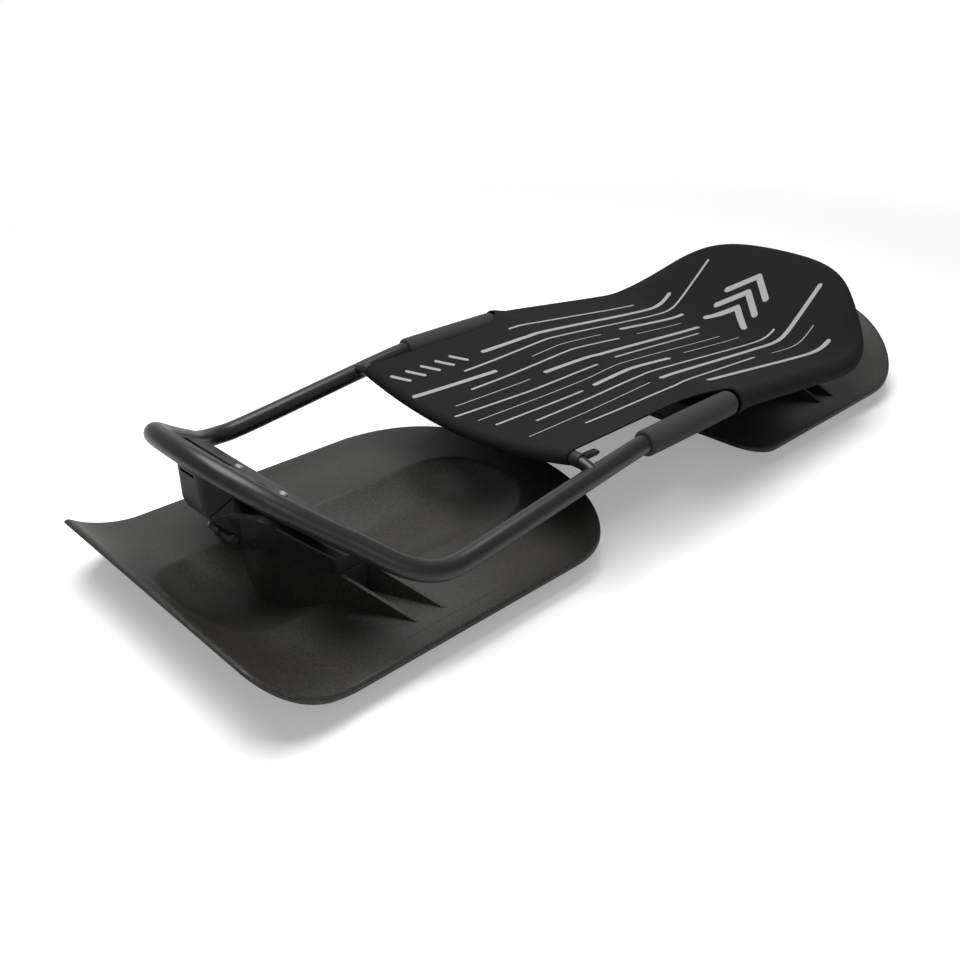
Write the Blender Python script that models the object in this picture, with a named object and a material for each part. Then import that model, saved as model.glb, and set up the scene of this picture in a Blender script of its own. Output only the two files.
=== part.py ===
"""Steering sled: a bent tube frame and a fabric deck carried on two skis that steer as the rider leans.

Metres, +Z up, +X to the sled's left, front towards -Y. The origin is under the middle of the sled,
on the plane where the keels of the two skis stand.
"""
import math

import bmesh
import bpy
import numpy as np
from mathutils import Matrix, Vector
from mathutils.geometry import interpolate_bezier

GAP = 0.0003               # clearance between neighbouring pieces

# Skis
SKI_WALL = 0.0035
RIM_HEIGHT = 0.0065        # depth of the turned-down rim
KEEL_DROP = 0.024          # the keel's depth below the rim
TROUGH_HALF_WIDTH = 0.086
TROUGH_FLOOR = 0.3         # share of the trough's half width that is flat
TROUGH_EASE = 0.040        # how much longer the trough's front wall is than its sides
RIB_HALF_SPAN = 0.174
RIB_THICKNESS = 0.004
RIB_SPACING = 0.035

# Frame
TUBE_RADIUS = 0.011
TUBE_WALL = 0.0015
TUBE_SIDES = 12
HALF_TRACK = 0.2035        # side tube's centre line to the middle of the sled
GRIP_Y = -0.046
GRIP_LENGTH = 0.164
GRIP_RADIUS = 0.0155
GRIP_Z = 0.130             # side tube's height at the grips
JOINER_LENGTH = 0.090

# Deck rod and sling
ROD_RADIUS = 0.007
ROD_Y = -0.212
ROD_END_Z = 0.1315
ROD_SAG = 0.0235
ROD_STRAIGHT_FROM = HALF_TRACK - 0.0315  # the rod's bow ends here, where the sling ends too
SLING_THICKNESS = 0.0018
SLING_STEPS = 7            # facets of the sling round the hoop
SLING_ROD_STEPS = 5        # and round the rod
SLING_MOUTH_Y = 0.039
SLING_MOUTH_RADIUS = 0.0165

# Steering units, in each unit's own frame: -Y points out towards the bar of its hoop
KINGPIN_RAKE = math.radians(22)
PIVOT_Y = -0.040
KINGPIN_RADIUS = 0.005
BUSH_RADIUS = 0.0125
BUSH_LENGTH = 0.024
SEAM_GAP = 0.002           # between head and hanger, filled by the thrust washer
BOSS_RADIUS = 0.0123
HEAD_HALF_WIDTH = 0.021
HEAD_FRONT_Y = -0.072
HEAD_CORNER = 0.006
HANGER_HALF_WIDTH = 0.097
PLATE_THICKNESS = 0.004
PLATE_DEPTH = 0.060        # along the slope
PLATE_FLANGE = 0.007
SCREW_X = 0.040
SCREW_DOWN = 0.011         # the screws' distance down the slope from the plate's outer edge
DOWEL_X = 0.062
HANGER_FLOOR = 0.0843       # height of the hanger's lower face in the middle
LATCH_Z = 0.1012
LATCH_RADIUS = 0.0028
LATCH_TRAVEL = 0.008
BARREL_RADIUS = 0.0045
BARREL_HALF_LENGTH = 0.0165
KNOB_RADIUS = 0.0058
LUG_HALF_WIDTH = 0.004


class Unit:
    """Places and sizes of one steering unit."""

    def __init__(self, name, y, turned, bar, plate_outer, plate_inner, seam_z, hanger_top, fin_slope):
        self.name = name
        self.bar_y, self.bar_z = bar
        self.plate_outer = plate_outer    # (y, z, half length) of the plate's outer edge
        self.plate_inner = plate_inner    # and of its inner edge
        self.seam_z = seam_z              # height of the seam below the head's front
        self.hanger_top = hanger_top
        self.fin_slope = fin_slope        # how the ski's fins are swept outside the hanger
        self.matrix = Matrix.Translation((0, y, 0)) @ Matrix.Rotation(math.pi if turned else 0, 4, "Z")
        self.sides = (("left", -1 if turned else 1), ("right", 1 if turned else -1))
        rise = plate_outer[1] - plate_inner[1]
        self.slope = math.atan2(rise, plate_inner[0] - plate_outer[0])
        self.latch_y = self.kingpin_y(LATCH_Z) - 0.023

    def seam(self, y):
        """Height of the seam between head and hanger, square to the kingpin."""
        return self.seam_z + (y - HEAD_FRONT_Y) * math.tan(KINGPIN_RAKE)

    def pivot(self):
        return Vector((0, PIVOT_Y, self.seam(PIVOT_Y)))

    def kingpin_y(self, z):
        """Where the kingpin's axis passes at a height."""
        return PIVOT_Y + (self.seam(PIVOT_Y) - z) * math.tan(KINGPIN_RAKE)

    def kingpin_axis(self):
        return Matrix.Translation(self.pivot()) @ Matrix.Rotation(KINGPIN_RAKE, 4, "X")

    def on_plate(self, down, above):
        """A point (y, z) so far down the plate's slope and so far above its middle plane."""
        y = self.plate_outer[0] + down * math.cos(self.slope) + above * math.sin(self.slope)
        z = self.plate_outer[1] - down * math.sin(self.slope) + above * math.cos(self.slope)
        return y, z

    def plate_frame(self):
        y, z = self.plate_outer[:2]
        return Matrix.Translation((0, y, z)) @ Matrix.Rotation(-self.slope, 4, "X")


FRONT = Unit("front", -0.492, False, (-0.0766, 0.2016), (-0.006, 0.1444, HALF_TRACK - 0.0695),
             (0.041, 0.107, HALF_TRACK - 0.0195), 0.131, 0.122, 0.45)
REAR = Unit("rear", 0.394, True, (-0.0738, 0.1838), (-0.006, 0.1295, HALF_TRACK - 0.0395),
            (0.041, 0.104, HALF_TRACK - 0.0105), 0.119, 0.108, -0.04)


def clear_scene():
    for obj in list(bpy.data.objects):
        bpy.data.objects.remove(obj, do_unlink=True)


def finish(name, color, roughness, metallic=0.0):
    """A Principled material of one colour."""
    material = bpy.data.materials.new(name)
    material.use_nodes = True
    shader = material.node_tree.nodes["Principled BSDF"]
    shader.inputs["Base Color"].default_value = (*color, 1)
    shader.inputs["Roughness"].default_value = roughness
    shader.inputs["Metallic"].default_value = metallic
    return material


def tube_black(name):
    return finish(name, (0.022, 0.021, 0.020), 0.38, 0.2)


def moulded_black(name):
    return finish(name, (0.014, 0.014, 0.014), 0.45)


def zinc(name):
    return finish(name, (0.55, 0.55, 0.56), 0.3, 1.0)


def mesh_object(name, vertices, faces, material=None, smooth=35):
    """An object from vertices and faces, with its faces turned outwards and shaded smooth."""
    mesh = bpy.data.meshes.new(name)
    mesh.from_pydata([tuple(v) for v in vertices], [], [tuple(f) for f in faces])
    build = bmesh.new()
    build.from_mesh(mesh)
    bmesh.ops.recalc_face_normals(build, faces=build.faces)
    build.to_mesh(mesh)
    build.free()
    mesh.shade_smooth()
    mesh.set_sharp_from_angle(angle=math.radians(smooth))
    obj = bpy.data.objects.new(name, mesh)
    bpy.context.scene.collection.objects.link(obj)
    if material is not None:
        mesh.materials.append(material)
    return obj


def add_empty(name, location, parent=None):
    empty = bpy.data.objects.new(name, None)
    empty.location = location
    bpy.context.scene.collection.objects.link(empty)
    empty.parent = parent
    bpy.context.view_layer.update()
    return empty


def hang(obj, parent):
    """Give the object the parent's origin as its own, without moving its faces."""
    obj.data.transform(Matrix.Translation(-parent.matrix_world.translation))
    obj.parent = parent
    return obj


def place(obj, matrix):
    obj.data.transform(matrix)
    return obj


def bake(obj, smooth=35):
    """Turn the object's modifiers into its mesh."""
    bpy.context.view_layer.update()
    evaluated = obj.evaluated_get(bpy.context.evaluated_depsgraph_get())
    mesh = bpy.data.meshes.new_from_object(evaluated)
    obj.modifiers.clear()
    obj.data = mesh
    mesh.name = obj.name
    mesh.shade_smooth()
    mesh.set_sharp_from_angle(angle=math.radians(smooth))
    return obj


def combine(obj, guide, operation, keep=False):
    """Union or difference with a guide solid, which is removed unless others need it."""
    change = obj.modifiers.new(operation.lower(), "BOOLEAN")
    change.operation = operation
    change.solver = "EXACT"
    change.object = guide
    bake(obj)
    if not keep:
        bpy.data.objects.remove(guide, do_unlink=True)
    return obj


def group(name, objects, material=None):
    """Separate solids in one object."""
    vertices = []
    faces = []
    for obj in objects:
        start = len(vertices)
        vertices += [v.co.copy() for v in obj.data.vertices]
        faces += [[start + i for i in face.vertices] for face in obj.data.polygons]
        bpy.data.objects.remove(obj, do_unlink=True)
    return mesh_object(name, vertices, faces, material)


def ring_faces(rings, sides, closed_ends=True):
    """Faces between rings of points, with a flat face at each end."""
    faces = []
    for r in range(rings - 1):
        for s in range(sides):
            t = (s + 1) % sides
            faces.append((r * sides + s, r * sides + t, (r + 1) * sides + t, (r + 1) * sides + s))
    if closed_ends:
        faces.append(tuple(reversed(range(sides))))
        faces.append(tuple(range((rings - 1) * sides, rings * sides)))
    return faces


def loft(name, sections, material=None, smooth=35):
    """A closed solid through equal outlines."""
    sides = len(sections[0])
    vertices = [p for section in sections for p in section]
    return mesh_object(name, vertices, ring_faces(len(sections), sides), material, smooth)


def prism(name, outline, x0, x1, material=None):
    """An outline in the YZ plane, carried along X."""
    return loft(name, [[(x, y, z) for y, z in outline] for x in (x0, x1)], material)


def turned(name, profile, axis, sides=16, material=None, smooth=35):
    """A profile of (radius, height) pairs turned round Z, then laid along an axis.

    A profile that starts and ends at radius 0 makes a solid, any other a ring.
    """
    solid = profile[0][0] == 0
    body = profile[1:-1] if solid else profile
    vertices = []
    for radius, height in body:
        for s in range(sides):
            a = 2 * math.pi * s / sides
            vertices.append((radius * math.cos(a), radius * math.sin(a), height))
    faces = ring_faces(len(body), sides, closed_ends=solid)
    if not solid:
        last = (len(body) - 1) * sides
        faces += [(last + s, last + (s + 1) % sides, (s + 1) % sides, s) for s in range(sides)]
    return place(mesh_object(name, vertices, faces, material, smooth), axis)


def rod(name, radius, z0, z1, axis, sides=16, material=None):
    return turned(name, [(0, z0), (radius, z0), (radius, z1), (0, z1)], axis, sides, material)


def frames_along(points):
    """Along a path, the direction and two unit vectors square to it, without twist."""
    points = [Vector(p) for p in points]
    frames = []
    side = None
    for i, point in enumerate(points):
        ahead = (points[min(i + 1, len(points) - 1)] - point).normalized()
        behind = (point - points[max(i - 1, 0)]).normalized()
        tangent = (ahead + behind).normalized()
        if side is None:
            side = tangent.orthogonal()
        side = (side - tangent * side.dot(tangent)).normalized()
        frames.append((tangent, side, tangent.cross(side)))
    return frames


def rings_along(points, radius, sides):
    rings = []
    for point, (_, side, up) in zip(points, frames_along(points)):
        angles = [2 * math.pi * s / sides for s in range(sides)]
        rings.append([Vector(point) + (side * math.cos(a) + up * math.sin(a)) * radius for a in angles])
    return rings


def tube(name, points, outer, inner, sides, material=None):
    """A hollow tube, open at both ends, or a solid rod where the inner radius is 0."""
    rings = rings_along(points, outer, sides)
    if inner:
        rings += reversed(rings_along(points, inner, sides))
    faces = ring_faces(len(rings), sides, closed_ends=not inner)
    if inner:
        last = (len(rings) - 1) * sides
        faces += [(last + s, last + (s + 1) % sides, (s + 1) % sides, s) for s in range(sides)]
    return mesh_object(name, [p for ring in rings for p in ring], faces, material)


# Frame

class Hoop:
    """One end of the frame's loop: level at the grip, down to a low point, then round and up to the bar."""

    def __init__(self, outward, low, corner, corner_run, bar, handles):
        self.outward = outward                      # -1 for the front, 1 for the rear
        self.grip = Vector((HALF_TRACK, GRIP_Y + outward * GRIP_LENGTH / 2, GRIP_Z))
        self.low = Vector((HALF_TRACK, *low))
        self.corner = Vector(corner)
        self.corner_run = Vector(corner_run).normalized()
        self.bar = Vector((0, *bar))
        self.handles = handles

    def left_half(self):
        """Points from the end of the left grip to the middle of the bar."""
        along = Vector((0, self.outward, 0))
        slope, low, corner_in, corner_out, bar = self.handles
        spans = [
            (self.grip, self.grip + along * slope, self.low - along * slope, self.low, 5),
            (self.low, self.low + along * low, self.corner - self.corner_run * corner_in, self.corner, 6),
            (self.corner, self.corner + self.corner_run * corner_out, self.bar + Vector((bar, 0, 0)),
             self.bar, 7),
        ]
        points = [self.grip]
        for a, b, c, d, count in spans:
            points += interpolate_bezier(a, b, c, d, count + 1)[1:]
        return points

    def path(self):
        """Points from the joint in the left grip, round the bar, to the joint in the right grip."""
        start = Vector((HALF_TRACK, GRIP_Y + self.outward * GAP / 2, GRIP_Z))
        left = [start] + self.left_half()
        return left + [Vector((-p.x, p.y, p.z)) for p in reversed(left[:-1])]


FRONT_HOOP = Hoop(-1, (-0.407, 0.098), (HALF_TRACK - 0.0535, -0.490, 0.135), (-1, -1.1, 0.8),
                  (-0.5686, 0.2016), (0.025, 0.0464, 0.0342, 0.0648, 0.0832))
REAR_HOOP = Hoop(1, (0.3212, 0.0986), (HALF_TRACK - 0.0435, 0.411, 0.1375), (-1, 0.8, 0.9),
                 (0.4678, 0.1838), (0.025, 0.0455, 0.0411, 0.0649, 0.1006))


def make_frame():
    for name, hoop in (("front_hoop", FRONT_HOOP), ("rear_hoop", REAR_HOOP)):
        tube(name, hoop.path(), TUBE_RADIUS, TUBE_RADIUS - TUBE_WALL, TUBE_SIDES, tube_black(name))
    bore = (TUBE_RADIUS - TUBE_WALL) * math.cos(math.pi / TUBE_SIDES) - GAP
    for name, x in (("left_frame_joiner", HALF_TRACK), ("right_frame_joiner", -HALF_TRACK)):
        ends = [(x, GRIP_Y - JOINER_LENGTH / 2, GRIP_Z), (x, GRIP_Y + JOINER_LENGTH / 2, GRIP_Z)]
        tube(name, ends, bore, bore - TUBE_WALL, TUBE_SIDES, zinc(name))


def make_grips():
    half = GRIP_LENGTH / 2
    edge = 0.003
    bore = (TUBE_RADIUS + GAP) / math.cos(math.pi / 20)
    profile = [(bore, -half), (GRIP_RADIUS - edge, -half), (GRIP_RADIUS, -half + edge),
               (GRIP_RADIUS, half - edge), (GRIP_RADIUS - edge, half), (bore, half)]
    for name, x in (("left_grip", HALF_TRACK), ("right_grip", -HALF_TRACK)):
        axis = Matrix.Translation((x, GRIP_Y, GRIP_Z)) @ Matrix.Rotation(math.radians(-90), 4, "X")
        turned(name, profile, axis, 20, finish(name, (0.05, 0.05, 0.052), 0.9))


# Deck

def rod_height(x):
    """The deck rod bows down towards its middle and runs on straight at its ends."""
    bowed = min(abs(x) / ROD_STRAIGHT_FROM, 1)
    return ROD_END_Z - ROD_SAG * (1 - bowed ** 2)


def rod_xs(reach, count):
    return [reach * (2 * i / count - 1) for i in range(count + 1)]


def make_rod():
    inner_xs = rod_xs(ROD_STRAIGHT_FROM, 14)
    reach = HALF_TRACK - 0.0112
    xs = [-reach] + inner_xs + [reach]
    points = [(x, ROD_Y, rod_height(x)) for x in xs]
    tube("deck_rod", points, ROD_RADIUS, ROD_RADIUS - 0.0015, 10, tube_black("deck_rod"))


def smooth_step(t):
    t = min(max(t, 0), 1)
    return t * t * (3 - 2 * t)


class Sling:
    """The deck: a panel of fabric, hemmed round the deck rod and round the rear hoop.

    The panel is a grid between the rod, the two sides and the rear bar. Points on its border that lie on
    a tube carry on as the hem round that tube, so the whole deck is one sheet.
    """

    FREE_YS = (-0.212, -0.150, -0.080, -0.022, 0.015)
    SLOPE_UP = 0.755               # how the deck rises to the rear bar
    WRAP = math.radians(315)

    def __init__(self):
        half = [p for p in REAR_HOOP.left_half() if p.y > SLING_MOUTH_Y + 0.02]
        mouth = Vector((HALF_TRACK, SLING_MOUTH_Y, self.tube_height(SLING_MOUTH_Y)))
        right = [Vector((-p.x, p.y, p.z)) for p in reversed([mouth] + half[:-1])]
        self.tube_points = [mouth] + half + right
        self.bar_count = 14
        self.side_count = (len(self.tube_points) - 1 - self.bar_count) // 2
        self.hem_rings = self.rear_rings()

    @staticmethod
    def tube_height(y):
        """Height of the side tube's centre line over the slope behind the grip."""
        points = REAR_HOOP.left_half()[:6]
        return float(np.interp(y, [p.y for p in points], [p.z for p in points]))

    def rear_rings(self):
        """At each point of the rear hoop, the facets of the hem from its edge at the panel round the tube."""
        normal = (TUBE_RADIUS + GAP + SLING_THICKNESS / 2) / math.cos(self.WRAP / SLING_STEPS / 2)
        rings = []
        last = len(self.tube_points) - 1
        for i, (point, (tangent, _, _)) in enumerate(zip(self.tube_points, frames_along(self.tube_points))):
            up = (Vector((0, 0, 1)) - tangent * tangent.z).normalized()
            inward = up.cross(tangent)
            leave = math.radians(50 + 25 * smooth_step((abs(point.x) - 0.06) / 0.14))
            radius = SLING_MOUTH_RADIUS if i in (0, last) else normal
            angles = [leave + self.WRAP * k / SLING_STEPS for k in range(SLING_STEPS + 1)]
            rings.append([point + (inward * math.cos(a) + up * math.sin(a)) * radius for a in angles])
        return rings

    def front_rings(self, xs):
        steps = SLING_ROD_STEPS
        radius = (ROD_RADIUS + GAP + SLING_THICKNESS / 2) / math.cos(self.WRAP / steps / 2)
        rings = []
        for x in xs:
            middle = Vector((x, ROD_Y, rod_height(x)))
            angles = [math.radians(90) + self.WRAP * k / steps for k in range(steps + 1)]
            rings.append([middle + Vector((0, math.cos(a), math.sin(a))) * radius for a in angles])
        return rings

    def side_edge(self, y):
        """The free side edge beside the grip, which swings out to the tube behind it."""
        mouth = self.hem_rings[0][0]
        swing = max((y + 0.052) / (SLING_MOUTH_Y + 0.052), 0) ** 3
        top = rod_height(ROD_STRAIGHT_FROM) + self.rod_lift
        return Vector((ROD_STRAIGHT_FROM + (mouth.x - ROD_STRAIGHT_FROM) * swing, y,
                       top + (mouth.z - top) * swing))

    def height(self, x, y, edge_z, bar):
        """Height of the fabric: it sags between its sides, then rises to the rear bar."""
        sag = float(np.interp(y, (-0.204, 0.018, 0.338), (ROD_SAG, 0.015, 0.0075)))
        low = edge_z - sag * (1 - min(abs(x) / 0.2, 1) ** 2)
        rise = bar.z - self.SLOPE_UP * (bar.y - y)
        soft = 0.010
        return (low + rise + math.sqrt((low - rise) ** 2 + soft ** 2)) / 2

    def make(self):
        columns = self.bar_count
        xs = rod_xs(ROD_STRAIGHT_FROM, columns)[::-1]
        front = self.front_rings(xs)
        self.rod_lift = front[0][0].z - rod_height(xs[0])
        left = [self.side_edge(y) for y in self.FREE_YS]
        left[0] = front[0][0]
        left += [ring[0] for ring in self.hem_rings[:self.side_count + 1]]
        right = [Vector((-p.x, p.y, p.z)) for p in left]
        rows = len(left) - 1
        rear = [ring[0] for ring in self.hem_rings[self.side_count:self.side_count + columns + 1]]
        head = [ring[0] for ring in front]

        def coons(edge_left, edge_right, edge_head, edge_rear, u, v, i, j):
            across = edge_left[j] * (1 - u) + edge_right[j] * u
            along = edge_head[i] * (1 - v) + edge_rear[i] * v
            corner_head = edge_head[0] * (1 - u) + edge_head[-1] * u
            corner_rear = edge_rear[0] * (1 - u) + edge_rear[-1] * u
            return across + along - corner_head * (1 - v) - corner_rear * v

        span = left[-1].y - left[0].y
        grid = []
        for j in range(rows + 1):
            v = (left[j].y - left[0].y) / span
            row = []
            for i in range(columns + 1):
                u = (1 - xs[i] / xs[0]) / 2
                row.append(coons(left, right, head, rear, u, v, i, j))
            grid.append(row)

        def formed(j, i):
            p = grid[j][i]
            side = min(p.y, REAR_HOOP.low.y)
            edge_z = self.side_edge(p.y).z if p.y < SLING_MOUTH_Y else self.tube_height(side) + 0.0125
            return self.height(p.x, p.y, edge_z, rear[i])

        miss_left = [left[j].z - formed(j, 0) for j in range(rows + 1)]
        miss_right = [right[j].z - formed(j, columns) for j in range(rows + 1)]
        miss_head = [head[i].z - formed(0, i) for i in range(columns + 1)]
        miss_rear = [rear[i].z - formed(rows, i) for i in range(columns + 1)]
        heights = []
        for j in range(rows + 1):
            v = (left[j].y - left[0].y) / span
            heights.append([formed(j, i) + coons(miss_left, miss_right, miss_head, miss_rear,
                                                 (1 - xs[i] / xs[0]) / 2, v, i, j)
                            for i in range(columns + 1)])
        for j in range(rows + 1):
            for i in range(columns + 1):
                grid[j][i].z = heights[j][i]

        vertices = [p for row in grid for p in row]
        index = [[j * (columns + 1) + i for i in range(columns + 1)] for j in range(rows + 1)]
        faces = [(index[j][i], index[j][i + 1], index[j + 1][i + 1], index[j + 1][i])
                 for j in range(rows) for i in range(columns)]

        def add_hem(rings, first):
            previous = None
            for ring, start in zip(rings, first):
                line = [start]
                for p in ring[1:]:
                    line.append(len(vertices))
                    vertices.append(p)
                if previous is not None:
                    faces.extend((previous[k], line[k], line[k + 1], previous[k + 1])
                                 for k in range(len(line) - 1))
                previous = line

        add_hem(front, index[0])
        start = len(self.FREE_YS)
        border = [index[j][0] for j in range(start, rows + 1)]
        border += index[rows][1:]
        border += [index[j][columns] for j in reversed(range(start, rows))]
        add_hem(self.hem_rings, border)
        sling = mesh_object("deck_sling", vertices, faces, finish("deck_sling", (0.018, 0.018, 0.018), 0.8))
        shell = sling.modifiers.new("fabric thickness", "SOLIDIFY")
        shell.thickness = SLING_THICKNESS
        shell.offset = 0
        shell.use_even_offset = True
        return bake(sling)


def open_hem(sling, unit):
    """Cut the hem away where the head and the ends of the cross plate reach the rear hoop."""
    clear = 0.0006
    slope = (unit.bar_z - unit.plate_outer[1]) / (unit.plate_outer[0] - unit.bar_y)
    top = unit.bar_z - (-0.064 - unit.bar_y) * slope + 0.0025 + clear
    nose = [(HEAD_FRONT_Y - clear, 0.150), (HEAD_FRONT_Y - clear, unit.bar_z - 0.004 + clear),
            (-0.064, top), (-0.050, top - 0.014 * slope), (-0.050, 0.150)]
    spaces = [prism("nose space", nose, -HEAD_HALF_WIDTH - clear, HEAD_HALF_WIDTH + clear)]
    half = PLATE_THICKNESS / 2
    band = [(-clear, half + clear), (PLATE_DEPTH + clear, half + clear),
            (PLATE_DEPTH + clear, -half - PLATE_FLANGE - clear), (-clear, -half - PLATE_FLANGE - clear)]
    grow = (unit.plate_inner[2] - unit.plate_outer[2]) / PLATE_DEPTH
    for side in (1, -1):
        sections = [[(side * (unit.plate_outer[2] + grow * down + reach), down, above) for down, above in band]
                    for reach in (-0.030, 0.001)]
        spaces.append(place(loft("plate space", sections), unit.plate_frame()))
    combine(sling, place(group("hem openings", spaces), unit.matrix), "DIFFERENCE")


def make_hem_collars():
    """Moulded stops at the ends of the deck rod, each with a tail that lies beside the sling's corner."""
    for name, side in (("left_hem_collar", 1), ("right_hem_collar", -1)):
        x0 = ROD_STRAIGHT_FROM + 0.0015
        axis = Matrix.Translation((side * x0, ROD_Y, ROD_END_Z)) @ Matrix.Rotation(side * math.pi / 2, 4, "Y")
        bore = (ROD_RADIUS + GAP) / math.cos(math.pi / 12)
        ring = [(bore, 0), (0.0098, 0), (0.0105, 0.001), (0.0105, 0.011), (0.0098, 0.012), (bore, 0.012)]
        collar = turned(name, ring, axis, 12, moulded_black(name))
        z = ROD_END_Z
        outline = [(ROD_Y + 0.0086, z - 0.0043), (ROD_Y + 0.030, z - 0.004), (ROD_Y + 0.033, z - 0.001),
                   (ROD_Y + 0.030, z + 0.002), (ROD_Y + 0.0086, z + 0.0037)]
        tail = prism("tail", outline, side * (x0 + 0.0023), side * (x0 + 0.0096))
        combine(collar, tail, "UNION")


# Steering units

def make_cross_plate(unit, hoop_space):
    """A shallow channel between the legs of the hoop, coped to the tube at both ends."""
    half = PLATE_THICKNESS / 2
    wall = 0.003
    low = -half - PLATE_FLANGE
    profile = [(0, half), (PLATE_DEPTH, half), (PLATE_DEPTH, low), (PLATE_DEPTH - wall, low),
               (PLATE_DEPTH - wall, -half), (wall, -half), (wall, low), (0, low)]
    reach = (unit.plate_outer[2], unit.plate_inner[2])
    sections = []
    for side in (1, -1):
        section = []
        for down, above in profile:
            x = side * (reach[0] + (reach[1] - reach[0]) * down / PLATE_DEPTH)
            section.append((x, down, above))
        sections.append(section)
    name = unit.name + "_cross_plate"
    plate = place(loft(name, sections, tube_black(name)), unit.plate_frame())
    combine(plate, hoop_space, "DIFFERENCE", keep=True)
    notch = prism("notch", [(-0.001, -half - 0.0001), (wall + 0.001, -half - 0.0001),
                            (wall + 0.001, low - 0.002), (-0.001, low - 0.002)],
                  -HEAD_HALF_WIDTH - GAP, HEAD_HALF_WIDTH + GAP)
    holes = screw_bars(0.0024, -0.004, 0.004)
    cutter = place(group("plate cuts", [notch] + holes), unit.plate_frame())
    return combine(plate, cutter, "DIFFERENCE")


def screw_bars(radius, bottom, top):
    """A short bar at each screw's place, in the plate's own frame."""
    places = [Matrix.Translation((side * SCREW_X, SCREW_DOWN, 0)) for side in (1, -1)]
    return [rod("bar", radius, bottom, top, spot, 12) for spot in places]


def make_head(unit, hoop_space):
    """The casting that holds the kingpin's bush: a nose under the bar and wings under the cross plate."""
    under = -PLATE_THICKNESS / 2 - GAP
    seam = SEAM_GAP / 2
    nose_slope = (unit.bar_z - unit.plate_outer[1]) / (unit.plate_outer[0] - unit.bar_y)
    toe = HEAD_FRONT_Y + 0.0048
    outline = [
        (toe, unit.seam(toe) + seam),
        (HEAD_FRONT_Y + 0.0025, unit.seam(toe) + seam + 0.004),
        (HEAD_FRONT_Y + 0.0007, unit.seam(toe) + seam + 0.0095),
        (HEAD_FRONT_Y, unit.seam(toe) + seam + 0.016),
        (HEAD_FRONT_Y, unit.bar_z - 0.004),
        (-0.064, unit.bar_z - (-0.064 - unit.bar_y) * nose_slope + 0.0025),
        unit.on_plate(-0.0006, 0.0025),
        unit.on_plate(-0.0006, under),
        unit.on_plate(0.036, under),
        unit.on_plate(0.036, under - 0.006),
        unit.on_plate(0.012, under - 0.012),
        (-0.0175, unit.seam(PIVOT_Y) - 0.0175),
        (-0.0215, unit.seam(PIVOT_Y) - 0.0175),
        (-0.0262, unit.seam(-0.0262) + seam),
    ]
    name = unit.name + "_head"
    sections = []
    for step in (0, 1, 2, 3, -3, -2, -1, 0):
        angle = math.radians(30 * abs(step))
        inset = HEAD_CORNER * (1 - math.sin(angle))
        x = HEAD_HALF_WIDTH - HEAD_CORNER * (1 - math.cos(angle))
        x = x if len(sections) >= 4 else -x
        sections.append([(x, max(y, HEAD_FRONT_Y + inset), z) for y, z in outline])
    head = loft(name, sections, moulded_black(name))
    wing = [(0.004, under - 0.0004), (0.034, under - 0.0004), (0.034, under - 0.005), (0.004, under - 0.008)]
    wings = prism("wings", wing, -SCREW_X - 0.010, SCREW_X + 0.010)
    combine(head, place(wings, unit.plate_frame()), "UNION")
    combine(head, hoop_space, "DIFFERENCE", keep=True)
    bush = BUSH_RADIUS + GAP
    top = BUSH_LENGTH + 0.0035
    stepped = [(0, -0.060), (BOSS_RADIUS + 0.001, -0.060), (BOSS_RADIUS + 0.001, seam + 0.0001),
               (bush, seam + 0.0001), (bush, top), (KINGPIN_RADIUS + 0.0006, top),
               (KINGPIN_RADIUS + 0.0006, 0.034), (0.0098, 0.034), (0.0098, 0.070), (0, 0.070)]
    cuts = [turned("kingpin space", stepped, unit.kingpin_axis(), 24)]
    slot_z = unit.bar_z - 0.0275
    cuts.append(prism("slot", [(-0.080, slot_z), (-0.069, slot_z), (-0.069, slot_z + 0.003),
                               (-0.080, slot_z + 0.003)], -0.013, 0.013))
    cuts += [place(bar, unit.plate_frame()) for bar in screw_bars(0.0021, -0.020, 0.010)]
    return combine(head, group("head cuts", cuts), "DIFFERENCE")


def hanger_front(x):
    return -0.022 + 0.043 * (abs(x) / HANGER_HALF_WIDTH) ** 1.6


def rib_y(unit, x):
    """The ski's front cross rib: bowed under the hanger, straight outside it."""
    inner = min(abs(x) / HANGER_HALF_WIDTH, 1)
    return -0.010 + 0.0314 * inner ** 1.27 + max(abs(x) - HANGER_HALF_WIDTH, 0) * unit.fin_slope


def rib_top(x):
    """The ribs' top edge: nearly level under the hanger, then down to the ski."""
    middle = HANGER_FLOOR - GAP
    return float(np.interp(abs(x), (0, HANGER_HALF_WIDTH, RIB_HALF_SPAN),
                           (middle, middle - 0.018, KEEL_DROP + RIM_HEIGHT + 0.0005)))


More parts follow.
